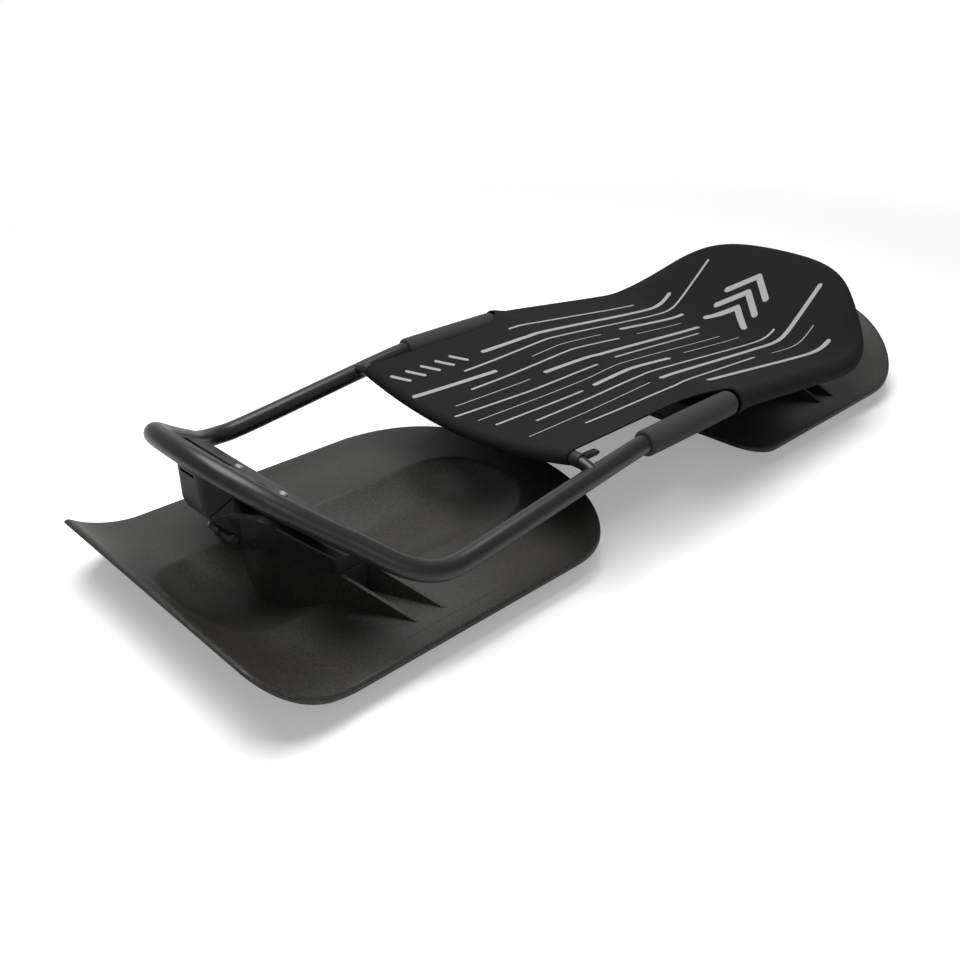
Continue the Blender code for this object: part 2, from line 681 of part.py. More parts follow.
def make_hanger(unit):
    """The block that carries the ski: wide and bowed at the bottom, with a neck up to the seam."""
    sections = []
    half = (0.016, 0.023, 0.032, 0.045, 0.062, 0.080, HANGER_HALF_WIDTH)
    for x in [-x for x in reversed(half)] + [0] + list(half):
        share = abs(x) / HANGER_HALF_WIDTH
        front = hanger_front(x)
        rear = 0.028 + 0.032 * share ** 1.6
        bottom = rib_top(x) + GAP
        top = unit.hanger_top - (unit.hanger_top - 0.083) * share ** 1.3
        rear_top = bottom + (top - bottom) * 0.45
        sections.append([(x, front, bottom), (x, front, top - 0.0016), (x, front + 0.0016, top),
                         (x, front + (rear - front) * 0.3, top - 0.001), (x, rear - 0.003, rear_top),
                         (x, rear, rear_top - 0.003), (x, rear, bottom)])
    name = unit.name + "_hanger"
    hanger = loft(name, sections, moulded_black(name))
    seam = SEAM_GAP / 2
    floor = HANGER_FLOOR
    top = unit.seam(-0.0655) - seam
    fillet = ((0.0, -0.0665, 0.050), (0.0025, -0.050, 0.008), (0.006, -0.039, 0.003), (0.011, -0.0245, -0.004),
              (0.017, -0.0170, -0.009), (0.025, -0.0070, -0.017))
    sections = []
    for side in (-1, 1):
        for out, front, above in fillet[::side]:
            high = unit.hanger_top + above
            neck = [(max(-0.0655, front), min(top, high)),
                    (max(PIVOT_Y, front + 0.010), min(unit.seam(PIVOT_Y) - seam, high - 0.0004)),
                    (max(-0.018, front + 0.012), min(floor + 0.011, high - 0.001)),
                    (max(-0.014, front + 0.013), floor + 0.0002),
                    (max(unit.kingpin_y(floor) - 0.0142, front + 0.001), floor + 0.0002),
                    (max(unit.kingpin_y(0.098) - 0.0165, front), min(0.098, floor + 0.45 * (high - floor))),
                    (front, min(top, high) - 0.002)]
            sections.append([(side * (HEAD_HALF_WIDTH + out), y, z) for y, z in neck])
    combine(hanger, loft("neck", sections), "UNION")
    barrel = rod("barrel", BARREL_RADIUS, -BARREL_HALF_LENGTH, BARREL_HALF_LENGTH, latch_axis(unit), 16)
    combine(hanger, barrel, "UNION")
    foot = (unit.seam(PIVOT_Y) - floor - 0.006) / math.cos(KINGPIN_RAKE)
    boss = turned("boss", [(0, -foot), (BOSS_RADIUS, -foot), (BOSS_RADIUS, -seam), (0, -seam)],
                  unit.kingpin_axis(), 24)
    combine(hanger, boss, "UNION")
    pocket = foot - 0.013
    bore = KINGPIN_RADIUS + GAP
    stepped = [(0, -0.100), (0.0095, -0.100), (0.0095, -pocket), (bore, -pocket), (bore, 0.01), (0, 0.01)]
    cuts = [turned("kingpin space", stepped, unit.kingpin_axis(), 20)]
    knob_end = BARREL_HALF_LENGTH + 0.009 + LATCH_TRAVEL
    cuts.append(rod("knob space", KNOB_RADIUS + 0.0004, BARREL_HALF_LENGTH + 0.0002, knob_end, latch_axis(unit), 20))
    cuts += [rod("dowel space", 0.0053, 0.050, 0.084, Matrix.Translation((side * DOWEL_X, 0.027, 0)), 16)
             for side in (1, -1)]
    y = unit.latch_y
    slot = [(y - 0.009, floor - 0.010), (y + 0.0105, floor - 0.010), (y + 0.0105, LATCH_Z + 0.009),
            (y - 0.009, LATCH_Z + 0.009)]
    half = LUG_HALF_WIDTH + 0.0005
    combine(hanger, group("hanger cuts", cuts + [prism("slot", slot, -half, half)]), "DIFFERENCE")
    latch_bore = rod("latch bore", LATCH_RADIUS + GAP, -0.04, 0.04, latch_axis(unit), 12)
    return combine(hanger, latch_bore, "DIFFERENCE"), foot, pocket


def latch_axis(unit):
    return Matrix.Translation((0, unit.latch_y, LATCH_Z)) @ Matrix.Rotation(math.pi / 2, 4, "Y")


def make_kingpin(unit, pocket):
    """The kingpin with its head in the hanger's pocket, and the nut and washers on it."""
    axis = unit.kingpin_axis()
    radius = KINGPIN_RADIUS
    name = unit.name + "_kingpin"
    top = 0.0425
    profile = [(0, -pocket - 0.0065), (0.006, -pocket - 0.0065), (0.008, -pocket - 0.005),
               (0.008, -pocket - GAP), (radius, -pocket - GAP), (radius, top - 0.001),
               (radius - 0.001, top), (0, top)]
    pieces = [turned(name, profile, axis, 14, zinc(name))]
    name = unit.name + "_kingpin_washer"
    hole = (radius + GAP) / math.cos(math.pi / 14)
    floor = 0.034 + GAP
    ring = [(hole, floor), (0.009, floor), (0.009, floor + 0.0015), (hole, floor + 0.0015)]
    pieces.append(turned(name, ring, axis, 14, zinc(name)))
    name = unit.name + "_kingpin_nut"
    floor += 0.0015 + GAP
    bore = (radius + GAP) / math.cos(math.pi / 6)
    nut = turned(name, [(0.0085, floor), (0.0085, floor + 0.0055), (bore, floor + 0.0055), (bore, floor)],
                 axis @ Matrix.Rotation(math.pi / 6, 4, "Z"), 6, zinc(name), 20)
    pieces.append(nut)
    return pieces


def make_bearings(unit):
    axis = unit.kingpin_axis()
    name = unit.name + "_pivot_bush"
    hole = (KINGPIN_RADIUS + GAP) / math.cos(math.pi / 16)
    start = SEAM_GAP / 2 + 0.0008
    end = start + BUSH_LENGTH
    ring = [(hole, start), (BUSH_RADIUS - 0.001, start), (BUSH_RADIUS, start + 0.001),
            (BUSH_RADIUS, end - 0.001), (BUSH_RADIUS - 0.001, end), (hole, end)]
    turned(name, ring, axis, 16, finish(name, (0.30, 0.06, 0.03), 0.5))
    name = unit.name + "_thrust_washer"
    half = SEAM_GAP / 2 - GAP
    ring = [(hole, -half), (0.0119, -half), (0.0119, half), (hole, half)]
    turned(name, ring, axis, 16, finish(name, (0.6, 0.58, 0.5), 0.4))


def make_latch(unit):
    """The pin that holds the ski's lug: pulled out, its waist meets the lug's open throat and frees the ski."""
    axis = latch_axis(unit)
    r = LATCH_RADIUS
    waist = 0.0016
    w1 = -LUG_HALF_WIDTH - 0.0015
    w0 = w1 - 2 * LUG_HALF_WIDTH - 0.003
    groove = r - 0.0008
    end = BARREL_HALF_LENGTH + 0.0005
    stop = end + 0.0055
    name = unit.name + "_latch_pin"
    profile = [(0, -0.0215), (r - 0.001, -0.0215), (r, -0.0205), (r, w0), (waist, w0 + 0.0015),
               (waist, w1 - 0.0015), (r, w1), (r, 0.0058), (groove, 0.0058), (groove, 0.0085), (r, 0.0085),
               (r, stop), (0, stop)]
    pin = turned(name, profile, axis, 12, zinc(name))
    name = unit.name + "_latch_ring"
    inside = groove + GAP
    outside = r + 0.0001
    ring = turned(name, [(inside, 0.0061), (outside, 0.0061), (outside, 0.0082), (inside, 0.0082)],
                  axis, 12, finish(name, (0.02, 0.02, 0.02), 0.8))
    name = unit.name + "_latch_knob"
    bore = (r + GAP) / math.cos(math.pi / 12)
    edge = 0.0013
    profile = [(0, stop + GAP), (bore, stop + GAP), (bore, end), (KNOB_RADIUS - edge, end),
               (KNOB_RADIUS, end + edge), (KNOB_RADIUS, end + 0.0078 - edge),
               (KNOB_RADIUS - edge, end + 0.0078), (0, end + 0.0078)]
    knob = turned(name, profile, axis, 16, moulded_black(name))
    return [pin, ring, knob]


class Ski:
    """A moulded ski: flat wings inside a turned-down rim, a trough along the middle, curled ends.

    The surface is laid out flat as rings that pass from the rim to the trough's flat floor, then both
    ends are bent up on an arc.
    """

    def __init__(self, unit, half_width, nose, tail, trough, curl_nose, curl_tail):
        self.unit = unit
        self.half_width = half_width
        self.nose_y, self.corner_width, self.corner_length = nose
        self.tail_start, self.tail_y, self.tail_power = tail
        self.trough_nose, self.trough_from, self.trough_to, self.trough_tail = trough
        self.curls = (curl_nose, curl_tail)
        self.counts = (9, 9, 9)

    def outline(self):
        """Half of the rim's outline, from the middle of the nose to the middle of the tail."""
        front, side, rear = self.counts
        w = self.half_width
        start = self.nose_y + self.corner_length
        points = [(i / 4 * (w - self.corner_width), self.nose_y) for i in range(4)]
        for i in range(front - 3):
            a = math.pi / 2 * i / (front - 4)
            points.append((w - self.corner_width * (1 - math.sin(a)), start - self.corner_length * math.cos(a)))
        points += [(w, start + (self.tail_start - start) * i / side) for i in range(1, side)]
        length = self.tail_y - self.tail_start
        power = 2 / self.tail_power
        for i in range(rear + 1):
            a = math.pi / 2 * i / rear
            points.append((w * max(math.cos(a), 0) ** power, self.tail_start + length * math.sin(a) ** power))
        return points

    def trough_outline(self, scale=1.0):
        """Half of the trough's outline, or of one of its rings further down."""
        front, side, rear = self.counts
        w = TROUGH_HALF_WIDTH * scale
        power = 2 / 2.3
        points = []
        start = self.trough_from + TROUGH_EASE * (1 - scale)
        for i in range(front + 1):
            a = math.pi / 2 * i / front
            reach = (self.trough_from - self.trough_nose) * scale
            points.append((w * math.sin(a) ** power, start - reach * max(math.cos(a), 0) ** power))
        run = self.trough_to - start
        points += [(w, start + run * i / side) for i in range(1, side)]
        for i in range(rear + 1):
            a = math.pi / 2 * i / rear
            reach = (self.trough_tail - self.trough_to) * scale
            points.append((w * max(math.cos(a), 0) ** power, self.trough_to + reach * math.sin(a) ** power))
        return points

    def top(self, scale):
        """Height of the upper surface in the trough, on the ring of that scale."""
        floor = SKI_WALL
        wing = KEEL_DROP + RIM_HEIGHT
        down = max(scale - TROUGH_FLOOR, 0) / (1 - TROUGH_FLOOR)
        return floor + (wing - floor) * min(down, 1) ** 1.5

    def top_at(self, x, y):
        """Height of the upper surface at a place, before the ends are bent."""
        power = 2.3
        if y < self.trough_from:
            past = (self.trough_from - y) / (self.trough_from - self.trough_nose)
        elif y > self.trough_to:
            past = (y - self.trough_to) / (self.trough_tail - self.trough_to)
        else:
            past = 0
        return self.top(((abs(x) / TROUGH_HALF_WIDTH) ** power + past ** power) ** (1 / power))

    def bend(self, x, y, z):
        """Curl the nose and the tail up on their arcs, which are given for the rim's lower edge."""
        height = z - KEEL_DROP
        for (start, radius), way in zip(self.curls, (-1, 1)):
            past = (y - start) * way
            if past > 0:
                angle = math.asin(min(past / radius, 1))
                y = start + way * (radius - height) * math.sin(angle)
                z = KEEL_DROP + radius - (radius - height) * math.cos(angle)
        return x, y, z

    def rings(self):
        """The surface's rings, each a half outline of (x, y, z)."""
        rim = self.outline()
        trough = self.trough_outline()
        wing = KEEL_DROP + RIM_HEIGHT
        rings = []
        for inset, z in ((0.0, KEEL_DROP), (0.0, wing - 0.004), (0.0012, wing - 0.0012), (0.004, wing)):
            half_length = (self.tail_y - self.nose_y) / 2
            middle = (self.tail_y + self.nose_y) / 2
            rings.append([(x * (1 - inset / self.half_width), middle + (y - middle) * (1 - inset / half_length), z)
                          for x, y in rim])
        for share in (0.5, 1.0):
            rings.append([(a[0] * (1 - share) + b[0] * share, a[1] * (1 - share) + b[1] * share, wing)
                          for a, b in zip(rings[3], trough)])
        for scale in (0.87, 0.68, 0.48, TROUGH_FLOOR):
            rings.append([(x, y, self.top(scale)) for x, y in self.trough_outline(scale)])
        return rings

    def make(self):
        rings = self.rings()
        half = len(rings[0])
        sides = 2 * half - 2
        vertices = []
        for ring in rings:
            other = [(-x, y, z) for x, y, z in ring[-2:0:-1]]
            vertices += [self.bend(*p) for p in ring + other]
        faces = ring_faces(len(rings), sides, closed_ends=False)
        last = (len(rings) - 1) * sides
        for i in range(half - 1):
            loop = [i, i + 1, (sides - i - 1) % sides, (sides - i) % sides]
            loop = [last + k for k in dict.fromkeys(loop)]
            faces.append(tuple(loop))
        name = self.unit.name + "_ski"
        ski = mesh_object(name, vertices, faces, finish(name, (0.024, 0.024, 0.022), 0.5))
        self.face_up(ski)
        shell = ski.modifiers.new("wall", "SOLIDIFY")
        shell.thickness = SKI_WALL
        shell.offset = -1
        shell.use_even_offset = True
        bake(ski)
        for rib in self.ribs():
            combine(ski, rib, "UNION")
        combine(ski, self.throat(), "DIFFERENCE")
        return ski

    @staticmethod
    def face_up(ski):
        """Turn the open surface so that its wings face up."""
        mesh = ski.data
        highest = sum(face.normal.z * face.area for face in mesh.polygons)
        if highest < 0:
            mesh.flip_normals()

    def on_ski(self, x, y):
        """Height inside the ski's wall under a point of the unit's frame."""
        place_y = (self.unit.matrix @ Vector((x, y, 0))).y
        return self.top_at(x, place_y) - SKI_WALL * 0.6

    def ribs(self):
        """Two cross ribs, the walls that join them, the dowel posts and the hooked lug of the latch."""
        unit = self.unit
        shapes = []
        xs = [RIB_HALF_SPAN * (2 * i / 22 - 1) for i in range(23)]
        for offset in (0, RIB_SPACING):
            sections = []
            for x in xs:
                y = rib_y(unit, x) + offset
                low = self.on_ski(x, y)
                high = rib_top(x)
                sections.append([(x, y, low), (x, y, high), (x, y + RIB_THICKNESS, high),
                                 (x, y + RIB_THICKNESS, low)])
            shapes.append(loft("rib", sections))
        for side in (1, -1):
            x = HANGER_HALF_WIDTH - RIB_THICKNESS / 2
            y0 = rib_y(unit, x) + RIB_THICKNESS / 2
            y1 = y0 + RIB_SPACING
            high = rib_top(HANGER_HALF_WIDTH) - 0.0005
            low = KEEL_DROP + RIM_HEIGHT - SKI_WALL * 0.6
            wall = [(y0, low), (y0, high), (y1, high), (y1, low)]
            shapes.append(prism("wall", wall, side * (x - RIB_THICKNESS / 2), side * (x + RIB_THICKNESS / 2)))
            base = self.on_ski(DOWEL_X, 0.027)
            spot = Matrix.Translation((side * DOWEL_X, 0.027, 0))
            top = rib_top(DOWEL_X + 0.009) - 0.0005
            post = [(0, base - 0.001), (0.009, base - 0.001), (0.0075, top), (0, top)]
            shapes.append(turned("post", post, spot, 16))
        y = unit.latch_y
        top = rib_top(0) - 0.0025
        lug = [(-0.008, top - 0.009), (-0.008, top), (y + 0.012, top), (y + 0.007, top + 0.005),
               (y + 0.007, LATCH_Z + 0.003), (y + 0.004, LATCH_Z + 0.0058), (y - 0.004, LATCH_Z + 0.0058),
               (y - 0.0058, LATCH_Z + 0.003), (y - 0.0058, LATCH_Z - 0.002), (y + 0.0005, top + 0.0035),
               (y + 0.009, top - 0.006), (-0.022, top - 0.009)]
        shapes.append(prism("lug", lug, -LUG_HALF_WIDTH, LUG_HALF_WIDTH))
        return [place(shape, unit.matrix) for shape in shapes]

    def throat(self):
        """The lug's keyhole, open at the top, and the bores for the dowels."""
        eye = LATCH_RADIUS + GAP
        throat = 0.0020
        y = self.unit.latch_y
        rise = math.sqrt(eye ** 2 - throat ** 2)
        outline = []
        start = math.atan2(rise, throat)
        for i in range(11):
            a = start - (2 * math.pi - (math.pi - 2 * start)) * i / 10
            outline.append((y + eye * math.cos(a), LATCH_Z + eye * math.sin(a)))
        outline += [(y - throat, LATCH_Z + 0.012), (y + throat, LATCH_Z + 0.012)]
        keyhole = prism("keyhole", outline, -0.008, 0.008)
        bores = [rod("bore", 0.0043, 0.052, 0.080, Matrix.Translation((side * DOWEL_X, 0.027, 0)), 12)
                 for side in (1, -1)]
        return place(group("ski cuts", [keyhole] + bores), self.unit.matrix)


FRONT_SKI = Ski(FRONT, 0.210, (-0.627, 0.041, 0.066), (-0.242, -0.112, 2.3), (-0.605, -0.530, -0.232, -0.157),
                (-0.532, 0.115), (-0.222, 0.30))
REAR_SKI = Ski(REAR, 0.206, (0.125, 0.040, 0.040), (0.438, 0.628, 2.1), (0.178, 0.253, 0.463, 0.538),
               (0.165, 0.187), (0.438, 0.300))


def make_unit(unit, hoop, ski):
    """Everything between one end of the frame and its ski."""
    steering = add_empty(unit.name + " steering axis", unit.matrix @ unit.pivot())
    latch_place = unit.matrix @ Vector((0, unit.latch_y, LATCH_Z))
    latching = add_empty(unit.name + " latch axis", latch_place - steering.location, steering)
    hoop_space = tube("hoop space", hoop.path(), TUBE_RADIUS + GAP, 0, TUBE_SIDES)
    place(hoop_space, unit.matrix.inverted())
    fixed = [make_cross_plate(unit, hoop_space), make_head(unit, hoop_space)]
    bpy.data.objects.remove(hoop_space, do_unlink=True)
    for end, side in unit.sides:
        name = unit.name + "_" + end + "_head_screw"
        spot = Matrix.Translation((side * SCREW_X, SCREW_DOWN, 0))
        low = PLATE_THICKNESS / 2 + GAP
        profile = [(0, -0.010), (0.0019, -0.010), (0.0019, low), (0.005, low), (0.0045, low + 0.002),
                   (0.003, low + 0.0027), (0, low + 0.0027)]
        fixed.append(turned(name, profile, unit.plate_frame() @ spot, 14, zinc(name)))
    before = set(bpy.data.objects)
    make_bearings(unit)
    fixed += [obj for obj in bpy.data.objects if obj not in before]
    for obj in fixed:
        place(obj, unit.matrix)
    hanger, _, pocket = make_hanger(unit)
    steered = [hanger] + make_kingpin(unit, pocket)
    for end, side in unit.sides:
        name = unit.name + "_" + end + "_ski_dowel"
        profile = [(0, 0.056), (0.004, 0.056), (0.004, 0.0805), (0.003, 0.0815), (0, 0.0815)]
        spot = Matrix.Translation((side * DOWEL_X, 0.027, 0))
        steered.append(turned(name, profile, spot, 12, zinc(name)))
    for obj in steered:
        hang(place(obj, unit.matrix), steering)
    hang(ski.make(), steering)
    for obj in make_latch(unit):
        hang(place(obj, unit.matrix), latching)


def main():
    clear_scene()
    make_frame()
    make_grips()
    make_rod()
    open_hem(Sling().make(), REAR)
    make_hem_collars()
    make_unit(FRONT, FRONT_HOOP, FRONT_SKI)
    make_unit(REAR, REAR_HOOP, REAR_SKI)


main()
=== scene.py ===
# %% [markdown]
# # Steering sled
# This lesson dresses a measured model of a steering sled: a bent tube frame with a fabric deck, carried on
# two plastic skis that turn as the rider leans. The measured model comes in as a fixed frame, and every
# piece made here sits on it and moves with one of its bodies.

# %% Load the measured model
import math

import bmesh
import bpy
import numpy as np
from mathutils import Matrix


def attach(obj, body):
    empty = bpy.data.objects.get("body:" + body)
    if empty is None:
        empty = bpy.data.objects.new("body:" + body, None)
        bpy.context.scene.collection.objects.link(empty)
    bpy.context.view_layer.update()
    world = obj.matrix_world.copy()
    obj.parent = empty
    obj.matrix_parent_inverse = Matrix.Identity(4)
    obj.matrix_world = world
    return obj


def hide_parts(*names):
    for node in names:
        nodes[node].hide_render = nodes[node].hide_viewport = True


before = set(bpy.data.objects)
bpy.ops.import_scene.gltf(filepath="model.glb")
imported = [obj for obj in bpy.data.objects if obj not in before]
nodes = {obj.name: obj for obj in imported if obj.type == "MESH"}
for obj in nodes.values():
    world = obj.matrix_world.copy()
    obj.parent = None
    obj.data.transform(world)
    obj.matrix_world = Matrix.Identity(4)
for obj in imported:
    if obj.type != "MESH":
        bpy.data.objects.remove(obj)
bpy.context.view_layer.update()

# %% [markdown]
# ## Camera
# The camera stands where the photograph was taken: at the front left of the sled, about sixty centimetres
# up, looking back along it. A lens a little shorter than 37 mm gives the same perspective.

# %% Camera
def placed(name, data):
    """An object for a camera, a mesh or a lamp, put into the scene."""
    obj = bpy.data.objects.new(name, data)
    bpy.context.scene.collection.objects.link(obj)
    return obj


lens = bpy.data.cameras.new("photo camera")
lens.lens = 36.85
lens.sensor_width = 36
camera = placed("photo camera", lens)
camera.location = (0.779, -0.932, 0.6017)
camera.rotation_euler = (math.radians(90 - 27.978), 0, math.radians(46.094))
bpy.context.scene.camera = camera
bpy.context.scene.view_settings.view_transform = "Standard"
print("camera height", round(camera.location.z, 3), "m")

# %% [markdown]
# ## Surfaces from grids
# Most pieces are made the same way. Two parameters run over a grid, a formula turns the grid into points,
# and the points become a mesh. Whole arrays are worked out at once, so a finer grid is only a bigger number.

# %% Helpers for grids
GAP = 0.0003


def grid_faces(rows, columns, closed=False):
    """Quads between neighbours of a rows x columns grid; a closed grid joins its last column to its first."""
    wide = columns if closed else columns - 1
    r, c = np.meshgrid(np.arange(rows - 1), np.arange(wide), indexing="ij")
    d = (c + 1) % columns
    this_row, next_row = r * columns, (r + 1) * columns
    return np.stack([this_row + c, this_row + d, next_row + d, next_row + c], -1).reshape(-1, 4)


def shell(grid, closed=True, caps=True):
    """A part (points, faces) from a grid of points (rows, columns, 3), with a flat face at each end."""
    rows, columns = grid.shape[:2]
    faces = grid_faces(rows, columns, closed).tolist()
    if closed and caps:
        faces += [list(range(columns))[::-1], list(range((rows - 1) * columns, rows * columns))]
    return grid.reshape(-1, 3), faces


def joined(parts):
    """Several parts as one: the points follow each other, and the faces count on from part to part."""
    starts = np.cumsum([0] + [len(points) for points, _ in parts])
    faces = [[start + i for i in face] for start, (_, some) in zip(starts, parts) for face in some]
    return np.concatenate([points for points, _ in parts]), faces


def piece(name, part, material, body, smooth=40, merge=0.0):
    """An object from a part: its faces are turned outwards, and it rides on a body of the sled."""
    mesh = bpy.data.meshes.new(name)
    points, faces = part
    mesh.from_pydata(points.tolist(), [], faces)
    mesh.materials.append(material)
    tidy_mesh(mesh, merge)
    mesh.shade_smooth()
    mesh.set_sharp_from_angle(angle=math.radians(smooth))
    obj = placed(name, mesh)
    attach(obj, body)
    print(name, len(mesh.vertices), "points")
    return obj


def tidy_mesh(mesh, merge):
    """Merge points that lie together, then turn the faces outwards."""
    build = bmesh.new()
    build.from_mesh(mesh)
    if merge:
        bmesh.ops.remove_doubles(build, verts=build.verts, dist=merge)
    bmesh.ops.recalc_face_normals(build, faces=build.faces)
    build.to_mesh(mesh)
    build.free()


def unit(vectors):
    """Vectors of length one."""
    return vectors / np.linalg.norm(vectors, axis=-1, keepdims=True)


def directions(path):
    """The direction of a path at each of its points, from its neighbours."""
    return unit(np.gradient(path, axis=0))


def rounds(path, radius, angles, leave=0.0):
    """Circles round a path that never runs straight up: each point is the path's point plus the radius times
    the inward direction's cosine and the upward direction's sine."""
    along = directions(path)
    up = unit(np.array([0, 0, 1.0]) - along * along[:, 2:])
    inward = np.cross(up, along)
    turn = (np.asarray(leave) * np.ones(len(path)))[:, None] + angles[None, :]
    radius = (np.asarray(radius) * np.ones(len(path)))[:, None, None]
    across = inward[:, None] * np.cos(turn)[..., None]
    upward = up[:, None] * np.sin(turn)[..., None]
    return path[:, None] + radius * (across + upward)


def full_turn(sides):
    """The angles of a circle's corners."""
    return np.arange(sides) * 2 * math.pi / sides


def bezier(a, b, c, d, count):
    """Points on a cubic curve: the four corners mixed by (1-t)^3, 3t(1-t)^2, 3t^2(1-t) and t^3."""
    t = np.linspace(0, 1, count + 1)[:, None]
    a, b, c, d = (np.asarray(p, float) for p in (a, b, c, d))
    return a * (1 - t) ** 3 + 3 * b * t * (1 - t) ** 2 + 3 * c * t ** 2 * (1 - t) + d * t ** 3


def ease(t):
    """From 0 to 1 with a level start and end: three times the square less twice the cube."""
    t = np.clip(t, 0, 1)
    return t * t * (3 - 2 * t)


# %% [markdown]
# ## Grain
# Moulded plastic, paint and foam all have a fine grain. One node group makes it for every finish: two layers
# of noise on Object coordinates, mixed into a height for the bump, a roughness that wanders round a middle
# value and a mottle for the colour. Each material places the group with its own scale and strength. A
# separate noise in each material would do as well, but one group keeps them alike and is changed in one
# place.

# %% Node group for grain
def new_group(name, inputs, outputs):
    """A shader node group with named inputs (name, value) and named outputs."""
    tree = bpy.data.node_groups.new(name, "ShaderNodeTree")
    for label, value in inputs:
        kind = "NodeSocketVector" if value is None else "NodeSocketFloat"
        socket = tree.interface.new_socket(label, in_out="INPUT", socket_type=kind)
        if value is not None:
            socket.default_value = value
    for label in outputs:
        tree.interface.new_socket(label, in_out="OUTPUT", socket_type="NodeSocketFloat")
    return tree, tree.nodes.new("NodeGroupInput"), tree.nodes.new("NodeGroupOutput")


def feed(socket, value):
    """Links another node's output to an input, or writes a plain value there."""
    if isinstance(value, bpy.types.NodeSocket):
        socket.id_data.links.new(value, socket)
    else:
        socket.default_value = value


def give(node, **values):
    """Feeds the named inputs of a node; an underscore stands for a space."""
    for label, value in values.items():
        feed(node.inputs[label.replace("_", " ")], value)
    return node


def math_node(tree, operation, a, b=None, clamp=False):
    """A Math node fed by sockets or plain numbers; gives its output socket."""
    node = tree.nodes.new("ShaderNodeMath")
    node.operation = operation
    node.use_clamp = clamp
    feed(node.inputs[0], a)
    if b is not None:
        feed(node.inputs[1], b)
    return node.outputs[0]


def noise(tree, where, scale, detail=2.0):
    """The value of a Noise node, from 0 to 1."""
    node = tree.nodes.new("ShaderNodeTexNoise")
    return give(node, Vector=where, Scale=scale, Detail=detail).outputs["Fac"]


BROAD_SCALE = 14.0
grain, grain_in, grain_out = new_group(
    "surface grain",
    [("Position", None), ("Scale", 900.0), ("Roughness", 0.5), ("Wander", 0.1), ("Broad Share", 0.3),
     ("Speckle", 0.2)],
    ["Height", "Roughness", "Mottle"])
fine = noise(grain, grain_in.outputs["Position"], grain_in.outputs["Scale"])
broad = noise(grain, grain_in.outputs["Position"], BROAD_SCALE, detail=4.0)
share = math_node(grain, "MULTIPLY", broad, grain_in.outputs["Broad Share"])
give(grain_out, Height=math_node(grain, "ADD", fine, share))
print("group", grain.name, [s.name for s in grain.interface.items_tree])

# %% [markdown]
# ## Roughness and mottle
# The noise nodes give values round one half, so one half is taken away before a value is widened. The wander
# widens the broad noise for the roughness, and the speckle widens the fine noise for the colour.

# %% Roughness and mottle of the grain
SPECK_CONTRAST = 8.0
swing = math_node(grain, "MULTIPLY", math_node(grain, "SUBTRACT", broad, 0.5), grain_in.outputs["Wander"])
swing = math_node(grain, "MULTIPLY", swing, 2.0)
give(grain_out, Roughness=math_node(grain, "ADD", grain_in.outputs["Roughness"], swing))
specks = math_node(grain, "MULTIPLY", math_node(grain, "SUBTRACT", fine, 0.5), grain_in.outputs["Speckle"])
specks = math_node(grain, "MULTIPLY", specks, SPECK_CONTRAST)
give(grain_out, Mottle=math_node(grain, "ADD", broad, specks, clamp=True))
print("nodes in the group", len(grain.nodes))

# %% [markdown]
# ## Finishes
# The frame is steel tube under black satin paint, the skis and the steering blocks are black moulded
# plastic, the grips are closed foam, and the screws and pins are bright zinc. All are one Principled shader
# with the grain group behind its roughness and its bump.

# %% Finish helper
def add_group(tree, group, **values):
    """A group placed in a material, with its own values on the named inputs."""
    node = tree.nodes.new("ShaderNodeGroup")
    node.node_tree = group
    return give(node, **values)


def mix_over(socket, factor, color):
    """Mixes a colour over what a colour socket holds so far, by a factor."""
    mix = socket.id_data.nodes.new("ShaderNodeMix")
    mix.data_type = "RGBA"
    before = socket.links[0].from_socket if socket.links else socket.default_value
    give(mix, Factor=factor, A=before, B=(*color, 1))
    feed(socket, mix.outputs["Result"])


def bump_over(socket, height, depth, strength=0.5):
    """Lays a bump of a depth in metres over what a normal socket holds so far."""
    bump = give(socket.id_data.nodes.new("ShaderNodeBump"), Height=height, Distance=depth, Strength=strength)
    if socket.links:
        feed(bump.inputs["Normal"], socket.links[0].from_socket)
    feed(socket, bump.outputs["Normal"])


def finish(name, color, lighter, roughness, wander, scale, depth, metallic=0.0, specular=0.5, speckle=0.15):
    """A Principled finish: the colour drifts to a lighter one with the mottle, and the grain is a bump of a
    depth in metres."""
    material = bpy.data.materials.new(name)
    material.use_nodes = True
    tree = material.node_tree
    shader = tree.nodes["Principled BSDF"]
    where = tree.nodes.new("ShaderNodeTexCoord").outputs["Object"]
    node = add_group(tree, grain, Position=where, Scale=scale, Roughness=roughness, Wander=wander,
                     Speckle=speckle)
    give(shader, Base_Color=(*color, 1), Metallic=metallic, Specular_IOR_Level=specular,
         Roughness=node.outputs["Roughness"])
    mix_over(shader.inputs["Base Color"], node.outputs["Mottle"], lighter)
    bump_over(shader.inputs["Normal"], node.outputs["Height"], depth)
    return material


# %% [markdown]
# ## The finishes themselves
# Colours are linear, so a black that looks like a dark grey on screen is only about one hundredth. The paint
# and the ski plastic are a little warm, as in the photograph. The skis have the coarsest grain, and the foam
# of the grips has hardly any gloss.

